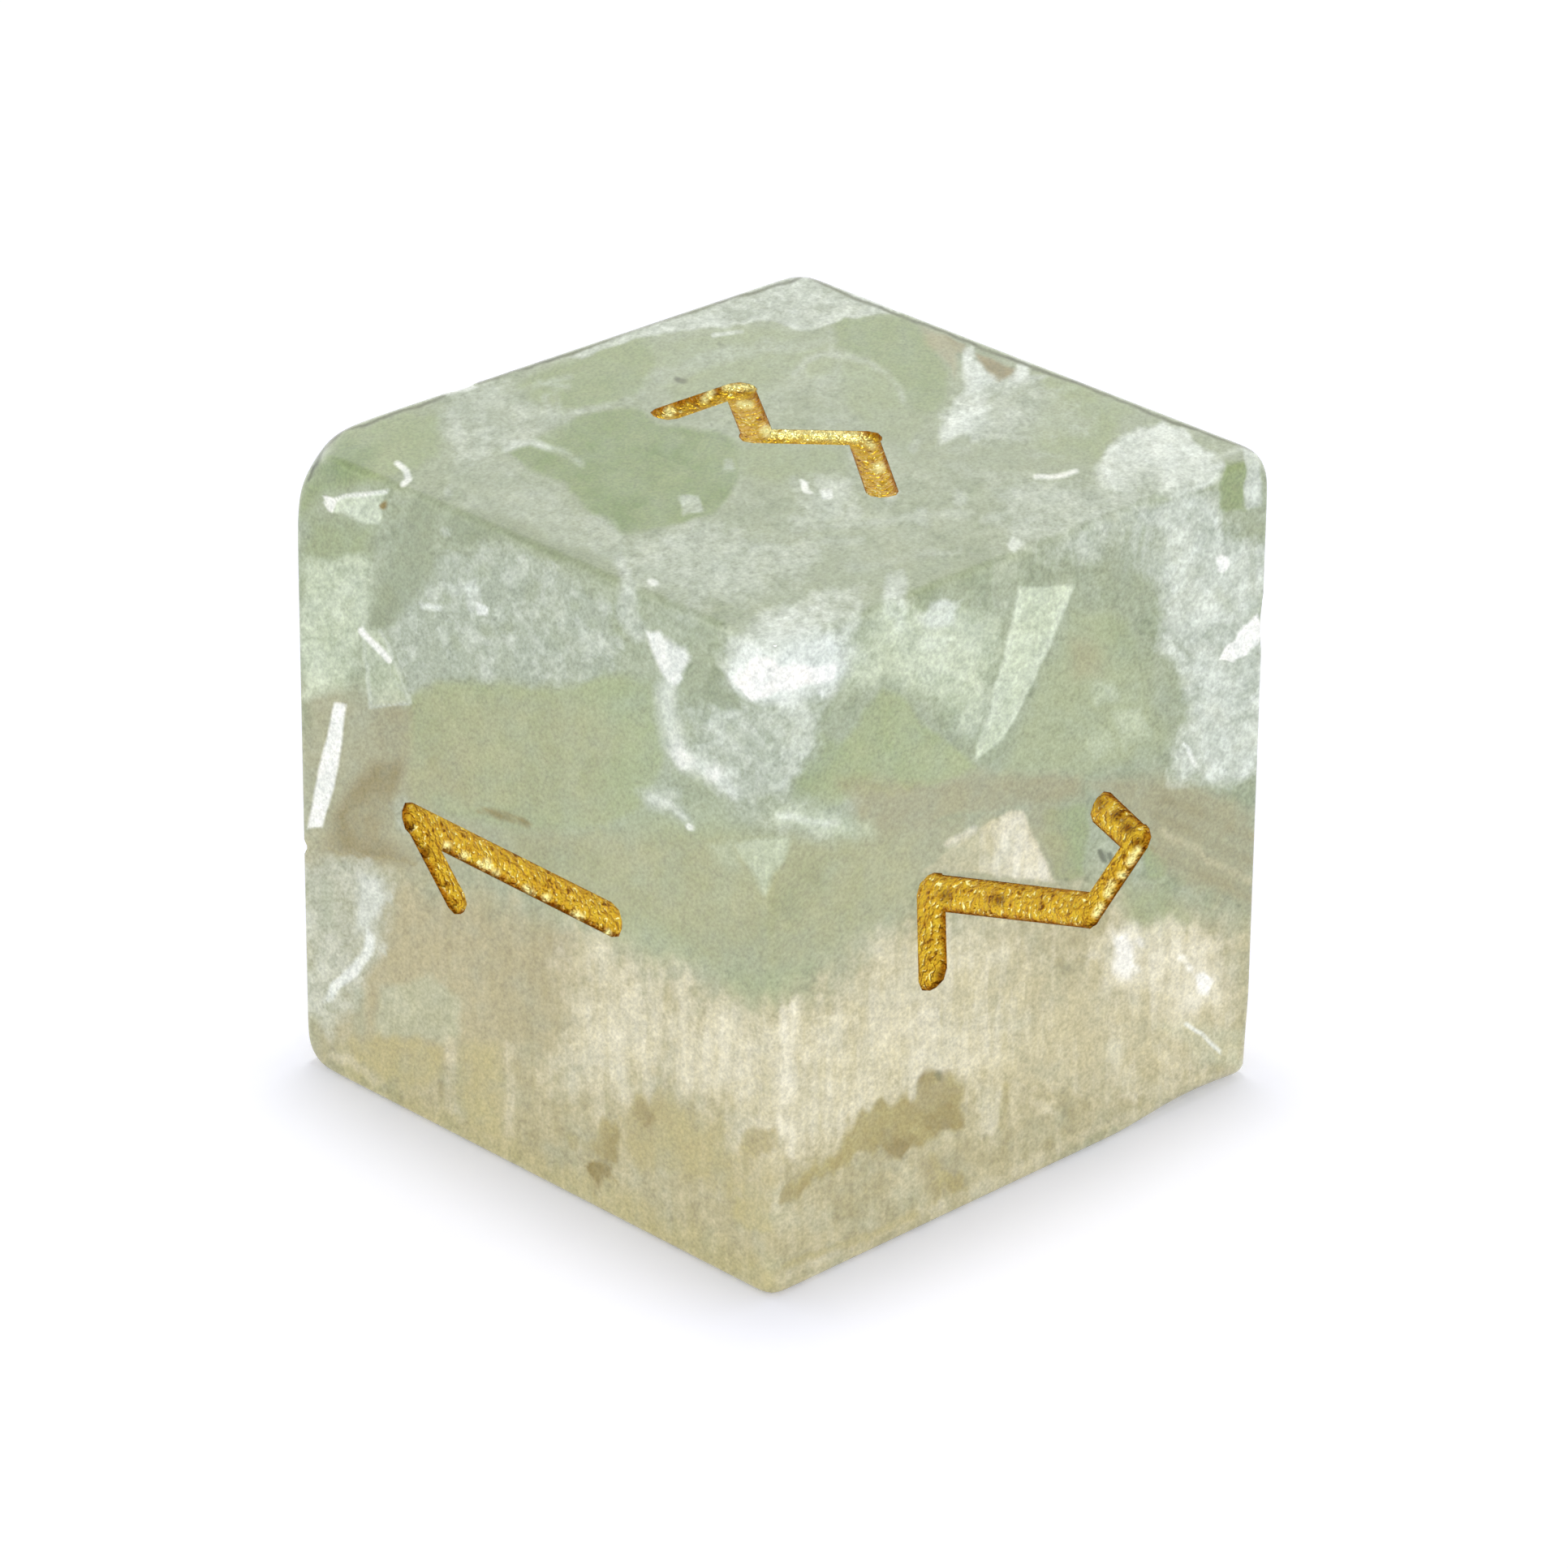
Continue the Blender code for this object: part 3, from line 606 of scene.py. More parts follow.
    Patch(Layer.MINT, ((400, 622), (423, 613), (477, 609), (470, 628), (464, 645), (440, 640),
          (410, 632)), 2.5, 0.9, 0.6),
    Patch(Layer.MINT, ((1060, 780), (1090, 740), (1130, 745), (1183, 752), (1230, 765), (1230, 810),
          (1216, 850), (1195, 905), (1160, 870), (1120, 850), (1095, 842), (1070, 850), (1045, 855),
          (1050, 815)), 12, 0.7, 0.4),
    Patch(Layer.MINT, ((1254, 724), (1324, 722), (1300, 780), (1277, 829), (1237, 910), (1203, 937),
          (1206, 905), (1216, 876), (1237, 809)), 3, 0.92, 0.52, 0.4),
    Patch(Layer.MINT, ((1090, 790), (1130, 770), (1190, 800), (1185, 850), (1140, 850), (1110, 830)), 14,
          0.7, 0.7),
    *strokes(Layer.MINT, 6, ((1258, 728), (1242, 805), (1220, 872), (1208, 928)), ((1318, 728),
             (1275, 828), (1238, 902)), strength=0.8, tone=0.9),
    Patch(Layer.MINT, ((1338, 845), (1365, 838), (1380, 860), (1350, 870)), 6, 0.5, 0.3),
    Patch(Layer.MINT, ((1375, 880), (1410, 870), (1419, 910), (1385, 925)), 8, 0.5, 0.3),
    Patch(Layer.MINT, ((1345, 905), (1370, 900), (1372, 930), (1350, 935)), 7, 0.5, 0.2),
    Patch(Layer.MINT, ((905, 1040), (930, 1030), (975, 1032), (962, 1070), (944, 1100), (920, 1070)), 6,
          0.7, 0.25),
    Patch(Layer.MINT, ((866, 1042), (905, 1032), (915, 1075), (885, 1070)), 9, 0.5, 0.1),
    *strokes(Layer.MINT, 22, ((965, 1004), (1010, 1012), (1070, 1024)), strength=0.6, tone=0.2,
             softness=9),
    Patch(Layer.MINT, ((468, 1215), (520, 1205), (569, 1225), (569, 1276), (470, 1282), (462, 1250)), 8,
          0.38, 0.1, 1.5),
    Patch(Layer.MINT, ((1425, 1259), (1457, 1255), (1528, 1270), (1528, 1316), (1480, 1310)), 8, 0.5,
          0.1),
    # Pale beige fibres
    Patch(Layer.FIBRE, ((716, 1165), (765, 1190), (803, 1214), (866, 1238), (937, 1268), (1062, 1205),
          (1129, 1145), (1200, 1150), (1330, 1180), (1440, 1200), (1530, 1210), (1530, 1300),
          (1400, 1330), (1250, 1350), (1180, 1340), (1120, 1360), (1040, 1410), (957, 1450), (920, 1400),
          (870, 1350), (830, 1340), (790, 1350), (740, 1350), (700, 1330), (702, 1230)), 38, 0.9, 0.27,
          2.0),
    *strokes(Layer.FIBRE, 11, ((730, 1180), (722, 1300)), ((765, 1200), (768, 1310)), ((800, 1200),
             (806, 1320)), ((840, 1240), (842, 1330)), ((905, 1240), (908, 1350)), ((945, 1260),
             (948, 1400)), ((1000, 1270), (1004, 1370)), ((1035, 1240), (1040, 1340)), ((1075, 1220),
             (1078, 1330)), ((1120, 1190), (1122, 1320)), ((1162, 1200), (1164, 1310)), ((1290, 1210),
             (1292, 1290)), ((1230, 1230), (1232, 1300)), strength=0.75, tone=0.42, softness=6),
    *strokes(Layer.FIBRE, 14, ((555, 1282), (556, 1366)), ((628, 1290), (630, 1398)), ((898, 1366),
             (898, 1398)), ((911, 1411), (911, 1474)), ((740, 1330), (738, 1385)), ((865, 1290),
             (867, 1340)), strength=0.6, tone=0.25, softness=5),
    Patch(Layer.FIBRE, ((720, 1200), (745, 1190), (870, 1260), (880, 1330), (830, 1330), (760, 1330),
          (712, 1310)), 26, 0.8, 0.45, 2.0),
    Patch(Layer.FIBRE, ((962, 1246), (984, 1234), (984, 1380), (974, 1440), (962, 1445)), 5, 0.85, 0.7,
          1.5),
    Patch(Layer.FIBRE, ((1213, 1323), (1245, 1316), (1222, 1394), (1206, 1406), (1203, 1368)), 4, 0.7,
          0.3),
    Patch(Layer.FIBRE, ((1380, 1350), (1440, 1310), (1487, 1320), (1440, 1350)), 5, 0.7, 0.4),
    Patch(Layer.FIBRE, ((1137, 1073), (1190, 1030), (1245, 997), (1262, 1000), (1300, 1088),
          (1215, 1076)), 3, 0.6, 0.1, 0.3),
    Patch(Layer.FIBRE, ((1210, 1026), (1245, 999), (1261, 1001), (1298, 1086), (1250, 1082),
          (1206, 1074)), 5, 0.95, 0.55, 0.5, fade=((1250, 1030), (1170, 1075))),
    *strokes(Layer.FIBRE, 7, ((1168, 1040), (1200, 1022)), ((1222, 1070), (1250, 1010)), ((1246, 1078),
             (1258, 1030)), ((1270, 1078), (1264, 1030)), ((1286, 1080), (1276, 1050)), strength=0.9,
             tone=0.9, softness=4),
    Patch(Layer.FIBRE, ((1250, 1190), (1400, 1200), (1530, 1240), (1530, 1300), (1400, 1330),
          (1250, 1340)), 24, 0.6, -0.05),
    *dots(Layer.FIBRE, 8, (1452, 1166), (1436, 1200), (1346, 1180), tone=0.7, strength=0.6, softness=6),
    Patch(Layer.FIBRE, ((1360, 1150), (1439, 1130), (1510, 1160), (1512, 1230), (1459, 1258),
          (1371, 1225)), 16, 0.85, 0.45, 1.5),
    Patch(Layer.FIBRE, ((1360, 1150), (1400, 1140), (1430, 1160), (1420, 1210), (1376, 1212)), 10, 0.9,
          0.8, 1.5),
    Patch(Layer.FIBRE, ((1440, 1176), (1470, 1160), (1498, 1190), (1500, 1230), (1470, 1245),
          (1446, 1222)), 10, 0.9, 0.8, 1.5),
    *strokes(Layer.FIBRE, 9, ((1432, 1026), (1480, 1052), (1545, 1092)), strength=0.45, tone=0.0,
             softness=4),
    *strokes(Layer.FIBRE, 12, ((411, 1300), (440, 1316), (461, 1335)), strength=0.7, tone=0.3,
             softness=4),
    # A pale strip along the lower right edge: a painted highlight on its bevel
    *strokes(Layer.FIBRE, 12, ((958, 1578), (1100, 1513), (1250, 1443), (1400, 1370), (1480, 1328)),
             strength=0.6, tone=0.15, softness=5),
    # Bright cracks, and painted glints: painted highlights off cracks, flakes and chipped edges
    Patch(Layer.BRIGHT, ((895, 845), (905, 800), (960, 780), (1040, 780), (1045, 840), (960, 866)), 14,
          0.5, 0.1),
    Patch(Layer.BRIGHT, ((812, 782), (850, 796), (842, 826), (826, 842), (812, 815)), 6, 0.65, 0.2),
    Patch(Layer.BRIGHT, ((412, 866), (427, 868), (421, 924), (409, 980), (396, 1020), (378, 1022),
          (385, 986), (398, 930)), 2.5, 0.95, 0.65, 0.3),
    *strokes(Layer.BRIGHT, 8, ((491, 570), (500, 580), (504, 592), (498, 598)), ((446, 776), (460, 790),
             (479, 812)), strength=0.9, tone=0.6, softness=2.5),
    *strokes(Layer.BRIGHT, 5, ((400, 622), (423, 613), (455, 609), (477, 607)), ((1274, 588),
             (1300, 586), (1328, 582)), ((1459, 917), (1466, 922), (1472, 944)), ((1459, 1262),
             (1480, 1274), (1502, 1296)), strength=0.8, tone=0.5, softness=2.5),
    Patch(Layer.BRIGHT, ((399, 616), (412, 618), (410, 632), (400, 630)), 2, 0.9, 0.7),
    Patch(Layer.BRIGHT, ((553, 484), (575, 487), (590, 479), (580, 474)), 2.5, 0.8, 0.5),
    Patch(Layer.BRIGHT, ((588, 742), (602, 744), (600, 756), (590, 756)), 2.5, 0.8, 0.4),
    Patch(Layer.BRIGHT, ((797, 776), (808, 780), (818, 800), (824, 820), (843, 833), (838, 846),
          (824, 845), (812, 822), (803, 800)), 3, 0.95, 0.6),
    *strokes(Layer.BRIGHT, 22, ((822, 846), (824, 880), (832, 915), (850, 940), (890, 958)),
             strength=0.55, tone=0.0, softness=11),
    *strokes(Layer.BRIGHT, 10, ((872, 945), (890, 962), (905, 975)), strength=0.5, tone=0.0, softness=7),
    *dots(Layer.BRIGHT, 11, (838, 924), (842, 936), (878, 950), tone=0.6, strength=0.8, softness=6),
    Patch(Layer.BRIGHT, ((903, 838), (914, 830), (930, 812), (948, 808), (965, 822), (1000, 820),
          (1032, 814), (1034, 824), (1026, 836), (990, 846), (955, 852), (924, 864)), 3, 1.0, 1.0, 0.6),
    Patch(Layer.BRIGHT, ((793, 776), (812, 776), (832, 800), (848, 796), (852, 808), (838, 834),
          (832, 850), (818, 838), (806, 812)), 4, 0.9, 0.5, 0.6),
    Patch(Layer.BRIGHT, ((1129, 752), (1183, 750), (1180, 768), (1140, 772)), 7, 0.5, 0.1),
    # Painted highlights off the chips at the right edge
    Patch(Layer.BRIGHT, ((1495, 687), (1503, 683), (1512, 686), (1514, 698), (1508, 707), (1498, 705)),
          2.5, 0.9, 0.7),
    Patch(Layer.BRIGHT, ((1506, 812), (1516, 790), (1532, 768), (1553, 753), (1560, 778), (1540, 796),
          (1520, 818)), 2, 0.95, 0.8),
    Patch(Layer.BRIGHT, ((990, 590), (1000, 594), (1004, 605), (996, 606)), 2, 0.9, 0.5),
    Patch(Layer.BRIGHT, ((1010, 604), (1022, 606), (1023, 613), (1012, 613)), 2, 0.8, 0.4),
    Patch(Layer.BRIGHT, ((440, 1080), (470, 1085), (476, 1110), (460, 1145), (440, 1150), (436, 1110)),
          8, 0.5, 0.1),
    Patch(Layer.BRIGHT, ((455, 1143), (440, 1172), (411, 1207), (402, 1235), (410, 1235), (438, 1200),
          (462, 1160)), 4, 0.75, 0.3),
    Patch(Layer.BRIGHT, ((1371, 1160), (1392, 1156), (1400, 1180), (1392, 1203), (1374, 1198)), 7, 0.75,
          1.0, 1.5),
    *dots(Layer.BRIGHT, 5, (1410, 1165), (1404, 1192), (1460, 1196), (1450, 1184), tone=1.0,
          strength=0.6, softness=4),
    Patch(Layer.BRIGHT, ((1470, 1206), (1488, 1200), (1496, 1214), (1490, 1228), (1474, 1226)), 4, 0.85,
          1.0, 1.5),
    *strokes(Layer.BRIGHT, 7, ((803, 984), (822, 990), (841, 1004)), ((960, 1006), (1030, 1014)),
             strength=0.5, tone=0.1, softness=5),
    *dots(Layer.BRIGHT, 5, (1013, 850), (804, 710), (844, 1014), tone=0.4, strength=0.75),
    # Dark specks, and a painted shade line along the upper outline
    *dots(Layer.DARK, 4, (1314, 1083), (1341, 1081), (1162, 1321), tone=0.2, strength=0.6),
    *dots(Layer.DARK, 6, (1119, 1146), (582, 900), tone=0.0, strength=0.35, softness=4),
    *strokes(Layer.DARK, 7, ((834, 466), (844, 469)), ((1356, 1050), (1362, 1062)), ((1367, 1054),
             (1371, 1064)), strength=0.85, tone=0.5),
    *strokes(Layer.DARK, 4, ((886, 422), (894, 426)), strength=0.5, tone=0.2),
    # A painted shade line along the upper outline, where the rounded edges show darkness
    *strokes(Layer.DARK, 4, ((378, 596), (395, 560), (425, 530), (550, 487)), ((590, 472), (760, 414),
             (985, 340)), ((995, 342), (1115, 392), (1300, 461), (1545, 558)), strength=0.9, tone=0.35,
             softness=2),
]

GOLD_MARKS: list[Patch] = [
    # Painted highlights: bright grains and strokes
    *dots(Layer.BRIGHT, 4, (551, 1042), (572, 1054), (611, 1075), (673, 1106), (748, 1150), (1382, 1078),
          (600, 1062), softness=3),
    *strokes(Layer.BRIGHT, 7, ((594, 1066), (603, 1068)), ((648, 1094), (654, 1099)), ((708, 1125),
             (716, 1130)), ((1391, 1063), (1402, 1047)), ((1364, 1102), (1370, 1088)), ((1350, 1127),
             (1356, 1116)), softness=3),
    *dots(Layer.BRIGHT, 6, (825, 508), (1054, 540), (1083, 576), softness=3),
    *strokes(Layer.BRIGHT, 8, ((868, 493), (877, 482)), ((894, 477), (928, 477)), ((912, 498),
             (924, 499)), ((1066, 543), (1074, 549)), softness=3),
    *strokes(Layer.BRIGHT, 13, ((944, 531), (985, 535), (1056, 537)), softness=4),
    # Painted shade: dark pits, and the dark tip of the 2
    *dots(Layer.DARK, 7, (524, 1050), (503, 1019), (1165, 1104), (1230, 1108), (1160, 1202),
          (1377, 1006), (1390, 1020), (1403, 1039), softness=4),
    Patch(Layer.DARK, ((1346, 972), (1356, 990)), 5, 0.8, width=12),
]


def covered(depth: np.ndarray) -> np.ndarray:
    """Turns depths in softnesses into shares that a patch covers, 0 to 1."""
    return np.clip(0.5 + 0.5 * depth, 0.0, 1.0)


def painted(pixels: np.ndarray, drift: np.ndarray, layer: Layer) -> np.ndarray:
    """Works out what one layer does at each place.

    Args:
        pixels: One row of photo pixels for each place.
        drift: How far a ragged patch wanders at each place, in pixels.
        layer: The layer.

    Returns:
        One row for each place: how many softnesses it lies inside the nearest patch, that
        patch's strength, its tone and its raggedness.
    """
    result = np.tile(np.array((-DEEPEST, 0.0, 0.5, 0.0)), (len(pixels), 1))
    for patch in PATCHES:
        if patch.layer is layer:
            near = patch.is_near(pixels, DEEPEST * patch.softness)
            before = result[near]
            wandered = pixels[near] + patch.ragged * drift[near]
            depth = np.minimum(patch.inside_by(wandered) / patch.softness, patch.faded_to(wandered))
            depth = np.clip(depth, -DEEPEST, DEEPEST)
            over = covered(depth)
            under = covered(before[:, 0]) * (1.0 - over)
            share = np.where(over + under > FAINT, over / np.maximum(over + under, FAINT),
                             depth > before[:, 0])
            own = np.array((patch.strength, patch.tone, patch.ragged))
            before[:, 1:] += share[:, None] * (own - before[:, 1:])
            before[:, 0] = np.maximum(before[:, 0], depth)
            result[near] = before
    return result


def marked(pixels: np.ndarray, layer: Layer) -> np.ndarray:
    """Works out where the painted marks of one layer lie on the gold: painted highlights or painted
    shade.

    Args:
        pixels: One row of photo pixels for each place.
        layer: BRIGHT for the painted glints or DARK for the painted shade of the pits.

    Returns:
        How far each place is covered, 0 to 1.
    """
    return np.max([covered(patch.inside_by(pixels) / patch.softness) * patch.strength
                   for patch in GOLD_MARKS if patch.layer is layer], axis=0)


@dataclass(frozen=True)
class Pattern:
    """The measures of a noise, or of a pattern of flakes.

    Its size is in metres. It is stretched so many times along z, its shift in its own sizes
    sets it apart from the others, and its detail is how many finer octaves a noise has.
    """

    size: float
    stretch: float = 1.0
    shift: float = 0.0
    detail: float = 2.0


@dataclass(frozen=True)
class Socket:
    """An output of a node that takes part in sums as a number does."""

    tree: "ShaderTree"
    output: bpy.types.NodeSocket

    def __add__(self, other: Operand) -> "Socket":
        """Adds."""
        return self.tree.maths("ADD", self, other)

    def __radd__(self, other: Operand) -> "Socket":
        """Adds to a plain number."""
        return self.tree.maths("ADD", other, self)

    def __sub__(self, other: Operand) -> "Socket":
        """Takes away."""
        return self.tree.maths("SUBTRACT", self, other)

    def __rsub__(self, other: Operand) -> "Socket":
        """Takes this away from a plain number."""
        return self.tree.maths("SUBTRACT", other, self)

    def __mul__(self, other: Operand) -> "Socket":
        """Multiplies."""
        return self.tree.maths("MULTIPLY", self, other)

    def __rmul__(self, other: Operand) -> "Socket":
        """Multiplies a plain number."""
        return self.tree.maths("MULTIPLY", other, self)

    def clamped(self) -> "Socket":
        """Keeps the value between 0 and 1."""
        return self.tree.maths("ADD", self, 0.0, clamp=True)

    def stepped(self, low: float, high: float) -> "Socket":
        """Turns the range from low to high into a soft step from 0 to 1.

        Args:
            low: The value that becomes 0.
            high: The value that becomes 1.

        Returns:
            The stepped value.
        """
        node = self.tree.add("ShaderNodeMapRange", {"interpolation_type": "SMOOTHSTEP"},
                             {"Value": self, "From Min": low, "From Max": high})
        return Socket(self.tree, node.outputs["Result"])


class ShaderTree:
    """The nodes of a material or of the sky."""

    def __init__(self, tree: bpy.types.NodeTree) -> None:
        """Takes up the nodes of a tree."""
        self.nodes = tree.nodes
        self.links = tree.links

    def add(self, kind: str, settings: dict[str, Any] | None = None,
            sockets: dict[str | int, Any] | None = None) -> bpy.types.Node:
        """Adds a node.

        Args:
            kind: The node's type.
            settings: The node's own settings, which are set first.
            sockets: A value or a link for each input, by name or number.

        Returns:
            The node.
        """
        node = self.nodes.new(kind)
        for name, value in (settings or {}).items():
            setattr(node, name, value)
        for name, value in (sockets or {}).items():
            self.feed(node.inputs[name], value)
        return node

    def feed(self, target: bpy.types.NodeSocket, value: Any) -> None:
        """Sets an input, or links to it.

        Args:
            target: The input.
            value: A number, a colour, a wrapped socket or a node's output.
        """
        if isinstance(value, Socket):
            value = value.output
        if isinstance(value, bpy.types.NodeSocket):
            self.links.new(value, target)
        else:
            target.default_value = value

    def maths(self, operation: str, first: Operand, second: Operand, clamp: bool = False) -> Socket:
        """Adds a Math node.

        Args:
            operation: The node's operation.
            first: Its first value.
            second: Its second value.
            clamp: Whether the result is kept between 0 and 1.

        Returns:
            The result.
        """
        node = self.add("ShaderNodeMath", {"operation": operation, "use_clamp": clamp},
                        {0: first, 1: second})
        return Socket(self, node.outputs[0])

    def mixed(self, under: Any, over: Any, share: Operand) -> bpy.types.NodeSocket:
        """Mixes two colours.

        Args:
            under: The colour at a share of 0.
            over: The colour at a share of 1.
            share: How much of the second colour shows.

        Returns:
            The mixed colour.
        """
        node = self.add("ShaderNodeMix", {"data_type": "RGBA"}, {0: share, 6: under, 7: over})
        return node.outputs[2]


class MaterialTree(ShaderTree):
    """The nodes of one material, with the patterns that it follows."""

    noise_roughness: float = 0.6
    noise_reach: float = 4.0
    bend_scale: float = 1.7
    bend_reach: Triple = (0.5, 0.5, 0.5)

    def __init__(self, name: str) -> None:
        """Starts a material with no nodes but its output and its coordinates.

        Args:
            name: The material's name.
        """
        self.material = bpy.data.materials.new(name)
        self.material.use_nodes = True
        super().__init__(self.material.node_tree)
        self.nodes.clear()
        self.end = self.add("ShaderNodeOutputMaterial")
        self.place = self.add("ShaderNodeTexCoord").outputs["Object"]

    def turned(self, axis: Triple) -> bpy.types.NodeSocket:
        """Returns the object's coordinates, turned so that an axis lies along z."""
        turn = Vector(axis).rotation_difference(Vector((0, 0, 1))).to_euler()
        return self.add("ShaderNodeMapping", None, {"Vector": self.place, "Rotation": turn}).outputs[0]

    def stored(self, name: str) -> Socket:
        """Returns the value that the mesh stores under a name."""
        return Socket(self, self.add("ShaderNodeAttribute", {"attribute_name": name}).outputs["Fac"])

    def scaled(self, pattern: Pattern, place: bpy.types.NodeSocket) -> bpy.types.NodeSocket:
        """Scales coordinates so that one unit is the size of a pattern.

        Args:
            pattern: The pattern's measures.
            place: The coordinates.

        Returns:
            The scaled and shifted coordinates.
        """
        return self.add("ShaderNodeMapping", None, {
            "Vector": place, "Location": (pattern.shift, pattern.shift, pattern.shift),
            "Scale": (1 / pattern.size, 1 / pattern.size, 1 / (pattern.size * pattern.stretch))
        }).outputs[0]

    def speckle(self, pattern: Pattern, place: bpy.types.NodeSocket | None = None) -> Socket:
        """Adds a noise whose values lie about 0, mostly between -1 and 1.

        Args:
            pattern: The noise's measures.
            place: The coordinates that it follows, where they aren't the object's own.

        Returns:
            The noise.
        """
        node = self.add("ShaderNodeTexNoise", None, {
            "Vector": self.scaled(pattern, place or self.place), "Scale": 1.0,
            "Detail": pattern.detail, "Roughness": self.noise_roughness})
        return (Socket(self, node.outputs["Fac"]) - 0.5) * self.noise_reach

    def flakes(self, pattern: Pattern, place: bpy.types.NodeSocket) -> Socket:
        """Adds a pattern of flat-toned flakes with slightly bent edges.

        Args:
            pattern: The pattern's measures.
            place: The coordinates that it follows.

        Returns:
            The pattern, with values from -1 to 1.
        """
        unit = self.scaled(pattern, place)
        bend = self.add("ShaderNodeTexNoise", None, {
            "Vector": unit, "Scale": self.bend_scale, "Detail": 1.0})
        bent = self.add("ShaderNodeVectorMath", {"operation": "MULTIPLY_ADD"}, {
            0: bend.outputs["Color"], 1: self.bend_reach, 2: unit})
        cells = self.add("ShaderNodeTexVoronoi", None, {"Vector": bent.outputs[0], "Scale": 1.0})
        parts = self.add("ShaderNodeSeparateXYZ", None, {0: cells.outputs["Color"]})
        return Socket(self, parts.outputs[0]) * 2.0 - 1.0

    def bumped(self, height: Socket, strength: float, depth: float) -> bpy.types.NodeSocket:
        """Adds a bump.

        Args:
            height: Its height from place to place.
            strength: How strong it is, 0 to 1.
            depth: Its depth in metres.

        Returns:
            The bumped normal.
        """
        return self.add("ShaderNodeBump", None, {
            "Strength": strength, "Distance": depth, "Height": height}).outputs[0]

    def surface(self, kind: str, sockets: dict[str | int, Any]) -> bpy.types.NodeSocket:
        """Adds a shader node and returns its output."""
        return self.add(kind, None, sockets).outputs[0]

    def finish(self, surface: bpy.types.NodeSocket, volume: bpy.types.NodeSocket | None = None
               ) -> bpy.types.Material:
        """Links the shaders to the material's output.

        Args:
            surface: The surface's shader.
            volume: The shader of what lies inside.

        Returns:
            The material.
        """
        self.feed(self.end.inputs["Surface"], surface)
        if volume is not None:
            self.feed(self.end.inputs["Volume"], volume)
        return self.material


